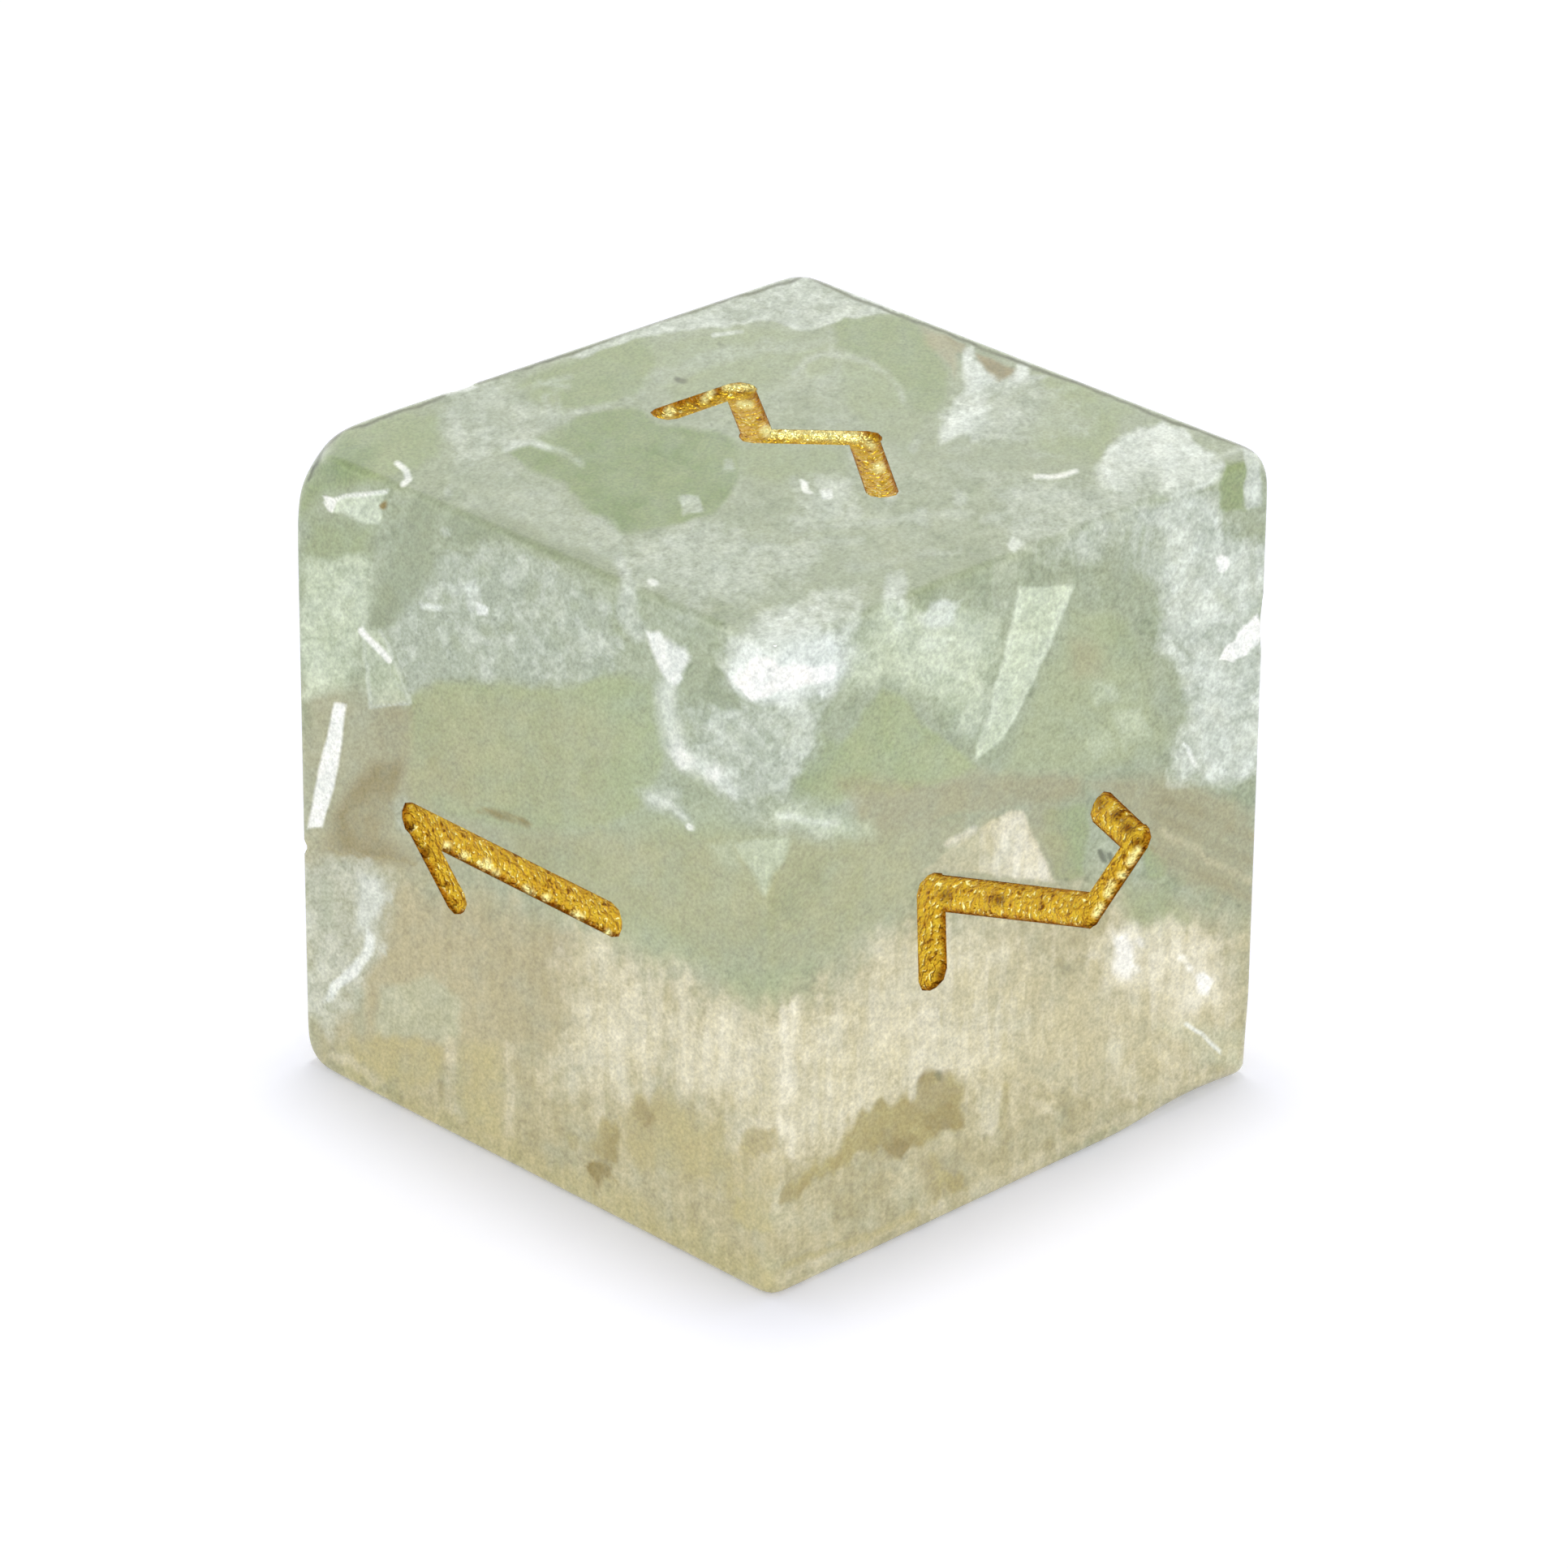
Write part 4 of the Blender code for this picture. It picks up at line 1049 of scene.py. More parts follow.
@dataclass(frozen=True)
class FluoriteFinish:
    """Polished fluorite: clear crystal with milky, green and beige zones.

    The grounds are the screen colours of the bare milky stone, and exposure turns a screen
    colour into the base colour that shows as that one in this light. Between the distances of
    edge_reach from the block's edges, in millimetres, the stone becomes as milky as edge_milk.
    """

    refraction: float = 1.434
    clear_roughness: float = 0.06
    milky_roughness: float = 0.16
    absorbed: Colour = (0.62, 0.78, 0.52, 1.0)
    absorption: float = 45.0
    ground_low: Triple = (160, 173, 142)
    ground_high: Triple = (194, 203, 182)
    ground_milk: float = 0.80
    edge_milk: float = 0.88
    edge_reach: tuple[float, float] = (0.3, 0.05)
    exposure: Triple = (0.98, 0.97, 0.90)
    blotch: Pattern = Pattern(1.1 * MM, 2.6)
    mottle: Pattern = Pattern(0.42 * MM, 2.6, 3.1)
    clot: Pattern = Pattern(0.17 * MM, 2.6, 7.3, 1.0)
    hue: Pattern = Pattern(0.8 * MM, 2.6, 11.9)
    grain: Pattern = Pattern(0.075 * MM, 1.6, 5.7, 1.0)
    strand: Pattern = Pattern(0.34 * MM, 7.0, 1.9)
    large_flake: Pattern = Pattern(1.1 * MM, 1.8)
    small_flake: Pattern = Pattern(0.45 * MM, 1.8, 4.4)
    fleck: Pattern = Pattern(0.24 * MM, 1.5, 9.1)
    rim_noise: float = 0.45
    tone_noise: float = 0.55
    bump_strength: float = 0.25
    bump_depth: float = 0.02 * MM

    def shade(self, screen: Triple) -> Colour:
        """Returns the base colour that shows as a screen colour in this light."""
        channels = zip(linear(*screen), self.exposure)
        return tuple(min(value * share, 1.0) for value, share in channels) + (1.0,)

    def material(self) -> bpy.types.Material:
        """Builds the material.

        Returns:
            The material, which reads one colour attribute for each layer, and how far a
            place lies from the block's edges as "from_edge".
        """
        tree = MaterialTree("polished_fluorite")
        veins = tree.turned(CRYSTAL_AXIS)
        blotch, mottle, clot, hue, grain = (
            tree.speckle(pattern, veins)
            for pattern in (self.blotch, self.mottle, self.clot, self.hue, self.grain))
        strands = tree.speckle(self.strand)
        flakes = 0.6 * tree.flakes(self.large_flake, veins) + 0.4 * tree.flakes(self.small_flake, veins)
        flecks = tree.flakes(self.fleck, veins).stepped(0.6, 0.75)
        # The shares that the patterns have in these sums are given one by one
        rim = 0.4 * blotch + 0.3 * mottle + 0.15 * clot
        smudge = 0.4 * mottle + 0.35 * blotch + 0.25 * clot + 0.4 * flakes
        texture = {layer: smudge for layer in Layer}
        texture[Layer.GREEN] = 0.6 * smudge
        texture[Layer.CLOUD] = smudge + 0.35 * flecks
        texture[Layer.FIBRE] = 0.6 * strands + 0.4 * blotch + 0.3 * mottle + 0.3 * flakes
        texture[Layer.BEIGE] = 0.5 * strands + 0.4 * blotch + 0.3 * mottle + 0.3 * flakes
        thin = (0.95 + 0.25 * hue).clamped()
        colour = tree.mixed(self.shade(self.ground_low), self.shade(self.ground_high),
                            (0.5 + 0.25 * blotch + 0.2 * mottle + 0.1 * clot + 0.25 * flakes).clamped())
        milk: Operand = self.ground_milk
        for layer in Layer:
            colour, milk = self.laid(tree, layer, colour, milk, texture[layer], rim, thin)
        milk = milk + (self.edge_milk - milk) * tree.stored("from_edge").stepped(*self.edge_reach)
        light = 1.0 + 0.16 * grain + 0.10 * clot + 0.05 * mottle
        tint = tree.add("ShaderNodeCombineXYZ", None, {
            0: light + 0.01 * hue, 1: light, 2: light - 0.04 * hue})
        colour = tree.add("ShaderNodeVectorMath", {"operation": "MULTIPLY"},
                          {0: colour, 1: tint.outputs[0]}).outputs[0]
        normal = tree.bumped(0.5 * blotch + 0.25 * mottle, self.bump_strength, self.bump_depth)
        clear = tree.surface("ShaderNodeBsdfPrincipled", {
            "Base Color": (1, 1, 1, 1), "Roughness": self.clear_roughness, "IOR": self.refraction,
            "Transmission Weight": 1.0, "Normal": normal})
        milky = tree.surface("ShaderNodeBsdfPrincipled", {
            "Base Color": colour, "Roughness": self.milky_roughness, "IOR": self.refraction,
            "Normal": normal})
        inside = tree.surface("ShaderNodeVolumeAbsorption", {
            "Color": self.absorbed, "Density": self.absorption})
        return tree.finish(tree.surface("ShaderNodeMixShader", {0: milk, 1: clear, 2: milky}), inside)

    def laid(self, tree: MaterialTree, layer: Layer, under: Any, milk: Operand, texture: Socket,
             rim: Socket, thin: Socket) -> tuple[bpy.types.NodeSocket, Socket]:
        """Lays one layer over the colours under it.

        Args:
            tree: The material's nodes.
            layer: The layer.
            under: The colour so far.
            milk: How milky the stone is so far.
            texture: The noise that varies the layer's tone.
            rim: The noise that makes its patches ragged.
            thin: How well its patches cover from place to place, 0 to 1.

        Returns:
            The colour and the milkiness with the layer.
        """
        tone = TONES[layer]
        paint = tree.add("ShaderNodeAttribute", {"attribute_name": layer.value})
        parts = tree.add("ShaderNodeSeparateXYZ", None, {0: paint.outputs["Color"]})
        depth, strength, shade = (Socket(tree, output) for output in parts.outputs)
        ragged = Socket(tree, paint.outputs["Alpha"])
        cover = (depth + self.rim_noise * ragged * rim).stepped(-1.0, 1.0) * strength * thin
        where = (shade + self.tone_noise * texture).clamped()
        own = tree.mixed(self.shade(tone.low), self.shade(tone.high), where)
        return (tree.mixed(under, own, cover),
                (1.0 - cover) * milk + tone.milk * cover)


@dataclass(frozen=True)
class GoldFinish:
    """Grainy gold, with painted shade in pits, along the rim and between grains, and painted highlights
    on grains. Its colours are screen colours.
    """

    ochre: Triple = (216, 182, 52)
    pale: Triple = (255, 244, 160)
    # The colour of the painted glints
    cream: Triple = (255, 248, 170)
    # The colour of painted shade in pits and between grains
    brown: Triple = (124, 78, 12)
    # A painted shade along the groove's rim
    painted_rim_shade: Triple = (160, 104, 18)
    orange: Triple = (192, 138, 26)
    clot: Pattern = Pattern(0.22 * MM)
    grain: Pattern = Pattern(0.12 * MM, 1.0, 2.3, 1.0)
    roughness: float = 0.36
    bump_strength: float = 0.8
    bump_depth: float = 0.03 * MM

    def material(self) -> bpy.types.Material:
        """Builds the material.

        Returns:
            The material, which reads how far a place lies from the rim as "from_rim", and
            the painted highlights of single grains and painted shade of pits as "glint" and
            "painted_pit_shade".
        """
        tree = MaterialTree("gold_filling")
        clots = tree.speckle(self.clot)
        grains = tree.speckle(self.grain)
        rim, glint, painted_pit_shade = (tree.stored(name) for name in ("from_rim", "glint", "painted_pit_shade"))
        colour = tree.mixed(linear(*self.orange), linear(*self.ochre), (0.6 + 0.5 * clots).clamped())
        # Painted highlights on the raised grains and painted shade in the hollows between them
        colour = tree.mixed(colour, linear(*self.pale), (grains + 0.3 * clots).stepped(0.4, 1.0))
        colour = tree.mixed(colour, linear(*self.brown), (0.0 - clots - 0.4 * grains).stepped(0.4, 1.0))
        # Painted shade along the rim, where the groove's wall shades the gold
        colour = tree.mixed(linear(*self.painted_rim_shade), colour, (rim + 0.1 * clots).stepped(0.0, 0.3))
        # Painted shade in the pits
        colour = tree.mixed(colour, linear(*self.brown), painted_pit_shade * (0.8 + 0.4 * grains).clamped())
        # Painted highlights where the glints are
        colour = tree.mixed(colour, linear(*self.cream), glint * (0.9 + 0.5 * grains).clamped())
        return tree.finish(tree.surface("ShaderNodeBsdfPrincipled", {
            "Base Color": colour, "Metallic": 1.0, "Roughness": (self.roughness - 0.1 * grains).clamped(),
            "Normal": tree.bumped(grains + 0.5 * clots, self.bump_strength, self.bump_depth)}))


def as_data(name: str, mesh: bmesh.types.BMesh) -> bpy.types.Mesh:
    """Turns a bmesh into mesh data.

    Args:
        name: The data's name.
        mesh: The shape, which is freed.

    Returns:
        The mesh data.
    """
    data = bpy.data.meshes.new(name)
    mesh.to_mesh(data)
    mesh.free()
    return data


def link_piece(name: str, mesh: bmesh.types.BMesh, material: bpy.types.Material,
               node: str) -> bpy.types.Object:
    """Turns a bmesh into a piece of the die.

    Args:
        name: The piece's name.
        mesh: Its shape in metres, which is freed.
        material: Its finish.
        node: The CAD node that it replaces.

    Returns:
        The piece.
    """
    piece = bpy.data.objects.new(name, as_data(name, mesh))
    piece.data.materials.append(material)
    bpy.context.scene.collection.objects.link(piece)
    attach(piece, BODY)
    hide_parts(node)
    return piece


def divide(mesh: bmesh.types.BMesh, longest: Callable[[np.ndarray], np.ndarray],
           most_rounds: int = 8) -> None:
    """Divides the faces of a mesh until no edge is long.

    Args:
        mesh: The mesh.
        longest: Gives the longest edge allowed at each of the places in its rows, in metres.
        most_rounds: How many times an edge may be halved.
    """
    for _ in range(most_rounds):
        ends = np.array([[vert.co[:] for vert in edge.verts] for edge in mesh.edges])
        lengths = np.linalg.norm(ends[:, 0] - ends[:, 1], axis=1)
        too_long = lengths > longest(ends.mean(axis=1))
        if not too_long.any():
            break
        chosen = [edge for edge, long in zip(mesh.edges, too_long) if long]
        bmesh.ops.subdivide_edges(mesh, edges=chosen, cuts=1, use_grid_fill=True)
        bmesh.ops.triangulate(mesh, faces=[face for face in mesh.faces if len(face.verts) > 4])


def grown_filling(number: int, outward: Vector, aside: float, down: float, up: float
                  ) -> bmesh.types.BMesh:
    """Copies the CAD filling of a numeral and grows it.

    Args:
        number: The numeral.
        outward: The direction out of its face.
        aside: How far its walls move out, in metres.
        down: How far its floor moves into the stone.
        up: How far its top moves out of the stone.

    Returns:
        The merged and grown copy.
    """
    mesh = bmesh.new()
    mesh.from_mesh(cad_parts[f"gold_numeral_{number}"].data)
    bmesh.ops.remove_doubles(mesh, verts=mesh.verts, dist=MERGE_DISTANCE)
    mesh.normal_update()
    moves = []
    for vert in mesh.verts:
        leans = [face.normal.dot(outward) for face in vert.link_faces]
        walls = sum((face.normal for face in vert.link_faces if abs(face.normal.dot(outward)) < ASIDE),
                    Vector())
        flat = walls - walls.dot(outward) * outward
        move = aside * flat.normalized() if flat.length > LEAST_LENGTH else Vector()
        if max(leans) > FACING:
            move += up * outward
        if min(leans) < -FACING:
            move -= down * outward
        moves.append(move)
    for vert, move in zip(mesh.verts, moves):
        vert.co += move
    return mesh


def crease(mesh: bmesh.types.BMesh, angle: float) -> None:
    """Makes a mesh smooth but for its sharp edges.

    Args:
        mesh: The mesh.
        angle: The angle in radians from which an edge is sharp.
    """
    for face in mesh.faces:
        face.smooth = True
    for edge in mesh.edges:
        edge.smooth = edge.calc_face_angle(0.0) < angle


@dataclass(frozen=True)
class BlockShape:
    """The outside of the hand-cut block, as the CAD has it.

    Lengths are in metres and angles in degrees. The wear of each corner goes by the sides
    that meet there along x, y and z, and the lean of each face by its axis and its side.
    """

    half: float = EDGE / 2
    edge_radius: float = 0.2 * MM
    worn_middle: Triple = (6.2 * MM, -8.0 * MM, -8.0 * MM)
    worn_radius: float = 0.57 * MM
    worn_reach: float = 3.0 * MM
    base_flatness: float = 0.01 * MM
    softness: float = 0.35
    segments: int = 72
    crowding: float = 0.7
    wear: dict[tuple[int, int, int], float] = field(default_factory=lambda: {
        (-1, +1, +1): 0.66 * MM, (+1, -1, +1): 0.30 * MM, (+1, +1, -1): 0.38 * MM,
        (-1, +1, -1): 0.31 * MM, (+1, +1, +1): 0.25 * MM, (-1, -1, -1): 0.19 * MM,
        (-1, -1, +1): 0.17 * MM, (+1, -1, -1): 0.13 * MM})
    face_lean: dict[tuple[int, int], Triple] = field(default_factory=lambda: {
        (0, -1): (0.00, -0.20, 0.26), (0, +1): (0.00, 0.61, 0.37), (1, -1): (0.66, 0.00, 0.04),
        (1, +1): (-0.25, 0.00, -0.29), (2, -1): (0.00, 0.00, 0.00), (2, +1): (0.03, 0.11, 0.00)})

    def corner(self, sides: tuple[int, int, int]) -> np.ndarray:
        """Finds where three leaning faces meet.

        Args:
            sides: The side of each face along x, y and z, -1 or 1.

        Returns:
            The corner, from the middle of the block.
        """
        normals = [np.eye(3)[axis] - np.radians(self.face_lean[axis, side])
                   for axis, side in enumerate(sides)]
        return np.linalg.solve(normals, np.array(sides) * self.half)

    def rounded(self, points: np.ndarray) -> np.ndarray:
        """Moves points of a square block onto one with rounded edges.

        Args:
            points: One row for each point, from the middle of the block.

        Returns:
            The moved points.
        """
        far = np.linalg.norm(points - np.array(self.worn_middle), axis=1) / self.worn_reach
        worn = np.maximum(0.0, 1 - far ** 2) ** 2
        radius = (self.edge_radius + (self.worn_radius - self.edge_radius) * worn)[:, None]
        core = np.clip(points, radius - self.half, self.half - radius)
        away = points - core
        return core + away / np.linalg.norm(away, axis=1)[:, None] * radius

    def worn(self, points: np.ndarray) -> np.ndarray:
        """Draws points near a corner in along its diagonal.

        Args:
            points: One row for each point, from the middle of the block.

        Returns:
            The moved points.
        """
        moved = points.copy()
        for sides, wear in self.wear.items():
            diagonal = np.array(sides) / math.sqrt(3)
            softness = wear * self.softness
            excess = wear - (np.array(sides) * self.half - points) @ diagonal
            moved -= softness * np.logaddexp(0.0, excess / softness)[:, None] * diagonal
        return moved

    def leaning(self, points: np.ndarray) -> np.ndarray:
        """Moves points of the square block into the leaning one, on the ground.

        Args:
            points: One row for each point, from the middle of the block.

        Returns:
            The moved points, in metres above the ground.
        """
        moved = np.tile((0.0, 0.0, self.half), (len(points), 1))
        for sides in self.wear:
            share = np.prod((1 + np.array(sides) * points / self.half) / 2, axis=1)
            moved += share[:, None] * self.corner(sides)
        moved[moved[:, 2] < self.base_flatness, 2] = 0.0
        return moved

    def crowded(self, part: float) -> float:
        """Moves a coordinate so that the divisions lie closer together towards the edges."""
        wave = math.sin(part / self.half * math.pi / 2)
        return (1 - self.crowding) * part + self.crowding * self.half * wave

    def build(self, longest: Callable[[np.ndarray], np.ndarray]) -> bmesh.types.BMesh:
        """Makes the block without its grooves.

        Args:
            longest: Gives the longest edge allowed at each of the places in its rows, which
                are in metres above the ground.

        Returns:
            The block, divided more finely towards its edges and where longest says.
        """
        mesh = bmesh.new()
        bmesh.ops.create_cube(mesh, size=2 * self.half)
        bmesh.ops.subdivide_edges(mesh, edges=mesh.edges, cuts=self.segments - 1, use_grid_fill=True)
        for vert in mesh.verts:
            vert.co = Vector([self.crowded(part) for part in vert.co])
        divide(mesh, lambda places: longest(places + np.array((0, 0, self.half))))
        points = np.array([vert.co[:] for vert in mesh.verts])
        for vert, place in zip(mesh.verts, self.leaning(self.worn(self.rounded(points)))):
            vert.co = place
        return mesh


@dataclass(frozen=True)
class Chip:
    """A chip knocked out of an edge.

    Its middle, from the middle of the block, and half its size are in millimetres, and its
    turn about the block's diagonal is in degrees.
    """

    middle: Triple
    half_size: Triple
    turn: float = 20.0
    subdivisions: int = 2

    def cut_into(self, cutter: bmesh.types.BMesh, shape: BlockShape) -> None:
        """Adds the chip's hollow to a cutter.

        Args:
            cutter: The mesh that is cut out of the block.
            shape: The block's shape, which puts the chip on its edge.
        """
        place = Vector(shape.leaning(np.array([self.middle]) * MM)[0])
        size = Vector(self.half_size) * MM
        turn = Matrix.Rotation(math.radians(self.turn), 4, Vector((1, 1, 1)))
        bmesh.ops.create_icosphere(cutter, subdivisions=self.subdivisions, radius=1.0, matrix=(
            Matrix.Translation(place) @ Matrix.Diagonal((*size, 1)) @ turn))


@dataclass
class FluoriteBlock:
    """The stone itself, with its colours painted on by patches.

    Lengths are in metres, but the crisp softness and margin, the wander, the comb and the
    hidden shift are in pixels of the photograph. A patch's rim wanders by a few noises, each
    given by its size and its pull, and in the combed layers it is drawn up and down besides.
    The noises start from a seed, because they would start from the clock otherwise.
    """

    camera: ProductCamera
    finish: FluoriteFinish = field(default_factory=FluoriteFinish)
    shape: BlockShape = field(default_factory=BlockShape)
    chips: tuple[Chip, ...] = (
        Chip((-8, 8, -2.3), (0.25, 0.25, 0.24)), Chip((-3.0, 8, 8), (0.55, 0.24, 0.22)),
        Chip((8, 4.5, 8), (0.18, 0.25, 0.16)), Chip((8, -8, 3.8), (0.2, 0.2, 0.85)))
    crisp_softness: float = 3.0
    crisp_margin: float = 3.0
    crisp_edge: float = 0.1 * MM
    seen_edge: float = 0.16 * MM
    seen_share: float = 0.99
    groove_aside: float = 0.02 * MM
    groove_down: float = 0.02 * MM
    groove_up: float = 0.35 * MM
    wander: tuple[tuple[float, float], ...] = ((50.0, 9.0), (17.0, 4.0))
    wander_seed: int = 7
    combed_layers: tuple[Layer, ...] = (Layer.BEIGE, Layer.FIBRE, Layer.OLIVE)
    comb_width: float = 13.0
    comb_length: float = 90.0
    comb_pull: float = 11.0
    comb_slice: float = 9.0
    hidden_shift: tuple[float, float] = (-60.0, 170.0)
    hidden_start: float = 0.4 * MM
    hidden_reach: float = 2.0 * MM
    crease_angle: float = math.radians(28)

    def build(self) -> bpy.types.Object:
        """Makes the stone.

        Returns:
            The piece that stands for the CAD block.
        """
        mesh = self.shape.build(self.longest_edges)
        piece = link_piece("polished_stone", mesh, self.finish.material(),
                           STONE_NODE)
        self.cut(piece)
        self.paint(piece.data)
        return piece

    def longest_edges(self, places: np.ndarray) -> np.ndarray:
        """Gives the longest edge allowed at each place: short where a crisp patch lies.

        Args:
            places: One row for each place, in metres.

        Returns:
            One length in metres for each place.
        """
        pixels = self.camera.sight(places)
        half, near = self.shape.half, self.seen_share * self.shape.half
        seen = (places[:, 0] < -near) | (places[:, 1] < -near) | (places[:, 2] > half + near)
        crisp = np.zeros(len(places), dtype=bool)
        for patch in PATCHES:
            if patch.softness <= self.crisp_softness:
                crisp |= patch.is_near(pixels, self.crisp_margin)
        return np.where(seen, np.where(crisp, self.crisp_edge, self.seen_edge), half)

    def cut(self, piece: bpy.types.Object) -> None:
        """Cuts the grooves and the chips into the block.

        Args:
            piece: The block, whose mesh is replaced by the cut one.
        """
        cutter = bmesh.new()
        for number, outward in NUMERAL_SIDES.items():
            cutter.from_mesh(as_data("groove", grown_filling(
                number, outward, self.groove_aside, self.groove_down, self.groove_up)))
        for chip in self.chips:
            chip.cut_into(cutter, self.shape)
        tool = bpy.data.objects.new("cutter", as_data("cutter", cutter))
        bpy.context.scene.collection.objects.link(tool)
        cutting = piece.modifiers.new("cut", "BOOLEAN")
        cutting.operation = "DIFFERENCE"
        cutting.solver = "EXACT"
        cutting.object = tool
        shape = bpy.data.meshes.new_from_object(
            piece.evaluated_get(bpy.context.evaluated_depsgraph_get()))
        piece.modifiers.clear()
        bpy.data.objects.remove(tool)
        mesh = bmesh.new()
        mesh.from_mesh(shape)
        crease(mesh, self.crease_angle)
        mesh.to_mesh(piece.data)
        mesh.free()

    def paint(self, data: bpy.types.Mesh) -> None:
        """Stores each layer, and the distance from the edges, as attributes of the mesh.

        Args:
            data: The stone's mesh.
        """
        places = np.empty(3 * len(data.vertices), dtype=np.float32)
        data.vertices.foreach_get("co", places)
        places = places.reshape(-1, 3).astype(float)
        pixels = self.camera.sight(places) + self.moved_on(places)
        noise.seed_set(self.wander_seed)
        drift = np.array([sum((pull * noise.noise_vector(Vector((*(spot / size), size))).xy
                               for size, pull in self.wander), Vector((0, 0))) for spot in pixels])
        combed = np.array([(0.0, self.comb_pull * noise.noise(Vector((
            across / self.comb_width, down / self.comb_length, self.comb_slice))))
            for across, down in pixels])
        for layer in Layer:
            attribute = data.attributes.new(layer.value, "FLOAT_COLOR", "POINT")
            moved = drift + combed if layer in self.combed_layers else drift
            attribute.data.foreach_set("color", painted(pixels, moved, layer).astype(np.float32).ravel())
        inside = self.shape.half - np.abs(places - np.array((0, 0, self.shape.half)))
        edges = data.attributes.new("from_edge", "FLOAT", "POINT")
        edges.data.foreach_set("value", (np.sort(inside, axis=1)[:, 1] / MM).astype(np.float32))

    def moved_on(self, places: np.ndarray) -> np.ndarray:
        """Moves the pattern along on the hidden sides, which would mirror the seen ones otherwise.

        Args:
            places: One row for each place, in metres.

        Returns:
            The move in photo pixels for each place, which is none on the seen sides.
        """
        half = self.shape.half
        behind = np.minimum(np.minimum(places[:, 0], places[:, 1]) + half, 2 * half - places[:, 2])
        behind = np.maximum(behind - self.hidden_start, 0.0)
        return (behind / (behind + self.hidden_reach))[:, None] * np.array(self.hidden_shift)


@dataclass
class GoldNumeral:
    """The gold in one engraved numeral: a grainy channel, hollow along its middle.

    Lengths are in metres. The grain grows to its full height over calm_rim, a share of the
    half width.
    """

    number: int
    outward: Vector
    camera: ProductCamera
    finish: bpy.types.Material
    longest: float = 0.09 * MM
    flush_lift: float = 0.035 * MM
    side_growth: float = 0.014 * MM
    hollow: float = 0.17 * MM
    half_width: float = 0.4 * MM
    grain_height: float = 0.036 * MM
    grain_size: float = 0.2 * MM
    calm_rim: float = 0.25
    crease_angle: float = math.radians(50)

    def build(self) -> bpy.types.Object:
        """Makes the gold of the numeral.

        Returns:
            The piece that stands for the CAD filling.
        """
        mesh = grown_filling(self.number, self.outward, self.side_growth, 0.0, 0.0)
        divide(mesh, lambda places: np.full(len(places), self.longest))
        mesh.normal_update()
        self.hollow_out(mesh)
        self.mark(mesh)
        crease(mesh, self.crease_angle)
        return link_piece(f"gold_{self.number}", mesh, self.finish,
                          f"gold_numeral_{self.number}")

    def hollow_out(self, mesh: bmesh.types.BMesh) -> None:
        """Sinks and roughens the top, and stores how far each place is from the rim.

        Args:
            mesh: The gold.
        """
        from_rim = mesh.verts.layers.float.new("from_rim")
        top = [vert for vert in mesh.verts
               if any(face.normal.dot(self.outward) > FACING for face in vert.link_faces)]
        rim = [vert.co.copy() for vert in top
               if any(abs(face.normal.dot(self.outward)) < ASIDE for face in vert.link_faces)]
        finder = kdtree.KDTree(len(rim))
        for index, place in enumerate(rim):
            finder.insert(place, index)
        finder.balance()
        for vert in top:
            share = min(finder.find(vert.co)[2] / self.half_width, 1.0)
            vert[from_rim] = share
            fine = noise.noise(vert.co / (self.grain_size / 2))
            grain = (noise.noise(vert.co / self.grain_size) + 0.5 * fine) * self.grain_height
            sink = self.hollow * math.sqrt(1 - (1 - share) ** 2)
            vert.co += self.outward * (self.flush_lift - sink + grain * min(1, share / self.calm_rim))

    def mark(self, mesh: bmesh.types.BMesh) -> None:
        """Stores where the painted highlights of bright grains and the painted shade of dark pits lie.

        Args:
            mesh: The gold.
        """
        pixels = self.camera.sight(np.array([vert.co[:] for vert in mesh.verts]))
        for name, layer in (("glint", Layer.BRIGHT), ("painted_pit_shade", Layer.DARK)):
            marks = mesh.verts.layers.float.new(name)
            for vert, share in zip(mesh.verts, marked(pixels, layer)):
                vert[marks] = share


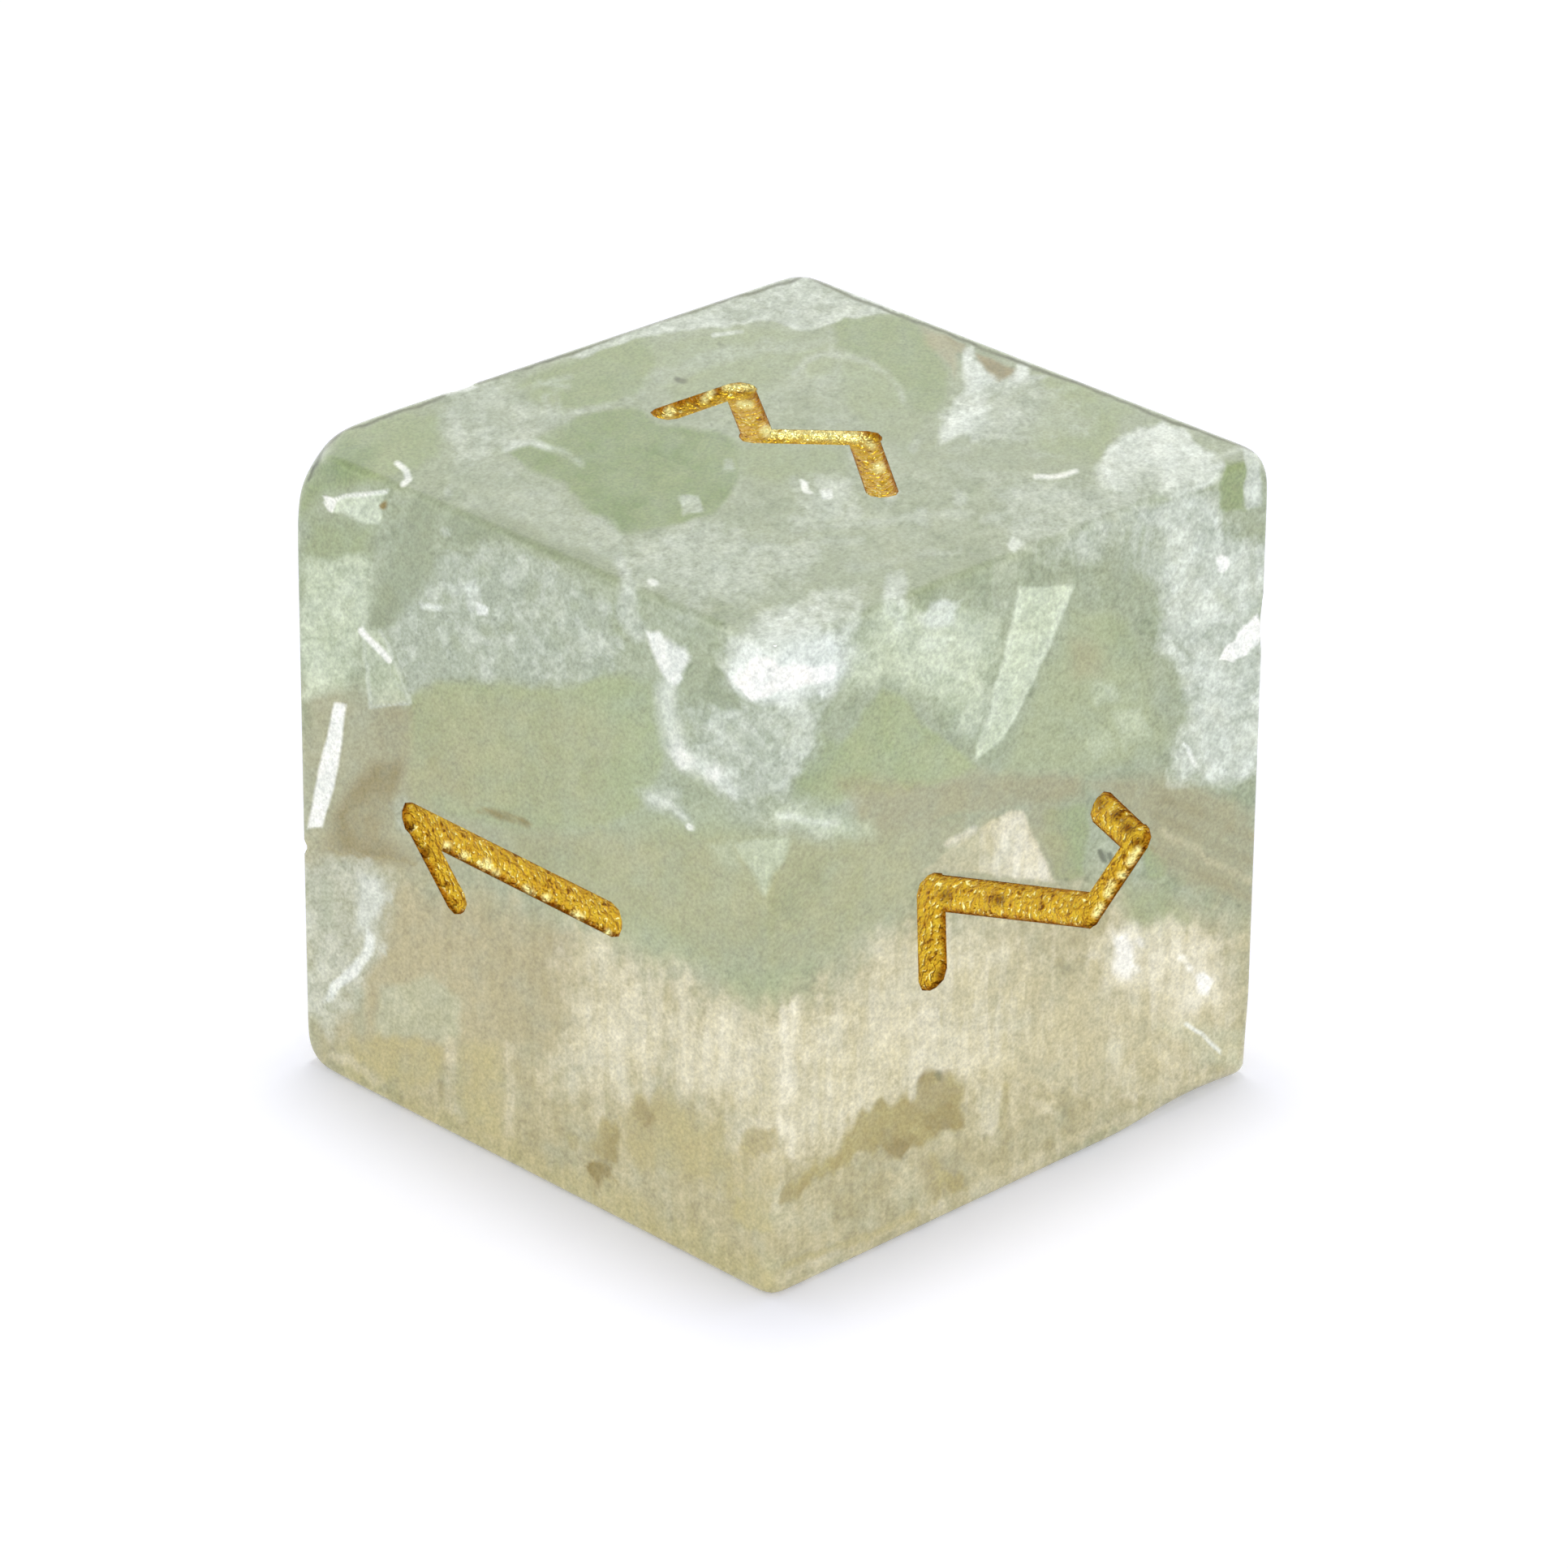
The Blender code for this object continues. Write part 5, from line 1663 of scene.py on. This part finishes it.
@dataclass(frozen=True)
class Studio:
    """A plain pale floor in soft light. Lengths are in metres."""

    floor_side: float = 3.0
    floor_drop: float = 0.03 * MM
    floor_colour: float = 0.93
    floor_blue: float = 0.04
    floor_mottle: float = 0.01
    floor_pattern: Pattern = Pattern(0.05)
    floor_roughness: float = 0.95
    floor_glow: float = 0.19
    floor_glow_colour: Colour = (0.74, 0.78, 1.0, 1.0)
    sky_high: float = 0.1
    sky_low: float = 1.88
    key_place: Triple = (0.01, 0.01, 0.25)
    key_side: float = 0.06
    key_watts: float = 0.205

    def build(self) -> None:
        """Makes the sky, the key light and the floor."""
        bpy.context.scene.view_settings.view_transform = "Standard"
        self.build_sky()
        self.build_key()
        self.build_floor()

    def build_sky(self) -> None:
        """Makes the sky, which is brightest at the horizon and below it."""
        world = bpy.data.worlds.new("soft_studio")
        world.use_nodes = True
        tree = ShaderTree(world.node_tree)
        direction = tree.add("ShaderNodeTexCoord")
        parts = tree.add("ShaderNodeSeparateXYZ", None, {0: direction.outputs["Generated"]})
        strength = tree.add("ShaderNodeMapRange", None, {
            "Value": parts.outputs["Z"], "To Min": self.sky_low, "To Max": self.sky_high})
        background = tree.nodes["Background"]
        tree.feed(background.inputs["Strength"], strength.outputs[0])
        tree.feed(background.inputs["Color"], (1, 1, 1, 1))
        bpy.context.scene.world = world

    def build_key(self) -> None:
        """Makes the key light, a soft disk above the die."""
        light = bpy.data.lights.new("key_light", "AREA")
        light.shape = "DISK"
        light.size = self.key_side
        light.energy = self.key_watts
        key = bpy.data.objects.new("key_light", light)
        aim = Vector((0, 0, EDGE / 2)) - Vector(self.key_place)
        turned = aim.to_track_quat("-Z", "Y").to_matrix().to_4x4()
        key.matrix_world = Matrix.Translation(self.key_place) @ turned
        bpy.context.scene.collection.objects.link(key)

    def build_floor(self) -> None:
        """Makes the floor, just below the die."""
        mesh = bmesh.new()
        bmesh.ops.create_grid(mesh, x_segments=1, y_segments=1, size=self.floor_side / 2)
        bmesh.ops.translate(mesh, verts=mesh.verts, vec=(0, 0, -self.floor_drop))
        tree = MaterialTree("pale_floor")
        shade = self.floor_mottle * tree.speckle(self.floor_pattern) + self.floor_colour
        tint = tree.add("ShaderNodeCombineColor", None, {0: shade, 1: shade, 2: shade + self.floor_blue})
        floor = bpy.data.objects.new("floor", as_data("floor", mesh))
        floor.data.materials.append(tree.finish(tree.surface("ShaderNodeBsdfPrincipled", {
            "Base Color": tint.outputs[0], "Roughness": self.floor_roughness,
            "Specular IOR Level": 0.0, "Emission Color": self.floor_glow_colour,
            "Emission Strength": self.floor_glow})))
        bpy.context.scene.collection.objects.link(floor)


def main() -> None:
    """Builds the studio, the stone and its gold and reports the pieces."""
    logging.basicConfig(level=logging.INFO, format="%(name)s %(relativeCreated)d: %(message)s")
    camera = ProductCamera()
    camera.build()
    Studio().build()
    pieces = [FluoriteBlock(camera).build()]
    gold = GoldFinish().material()
    pieces += [GoldNumeral(number, outward, camera, gold).build()
               for number, outward in NUMERAL_SIDES.items()]
    for piece in pieces:
        log.info("%s: %d faces", piece.name, len(piece.data.polygons))


if __name__ == "__main__":
    main()
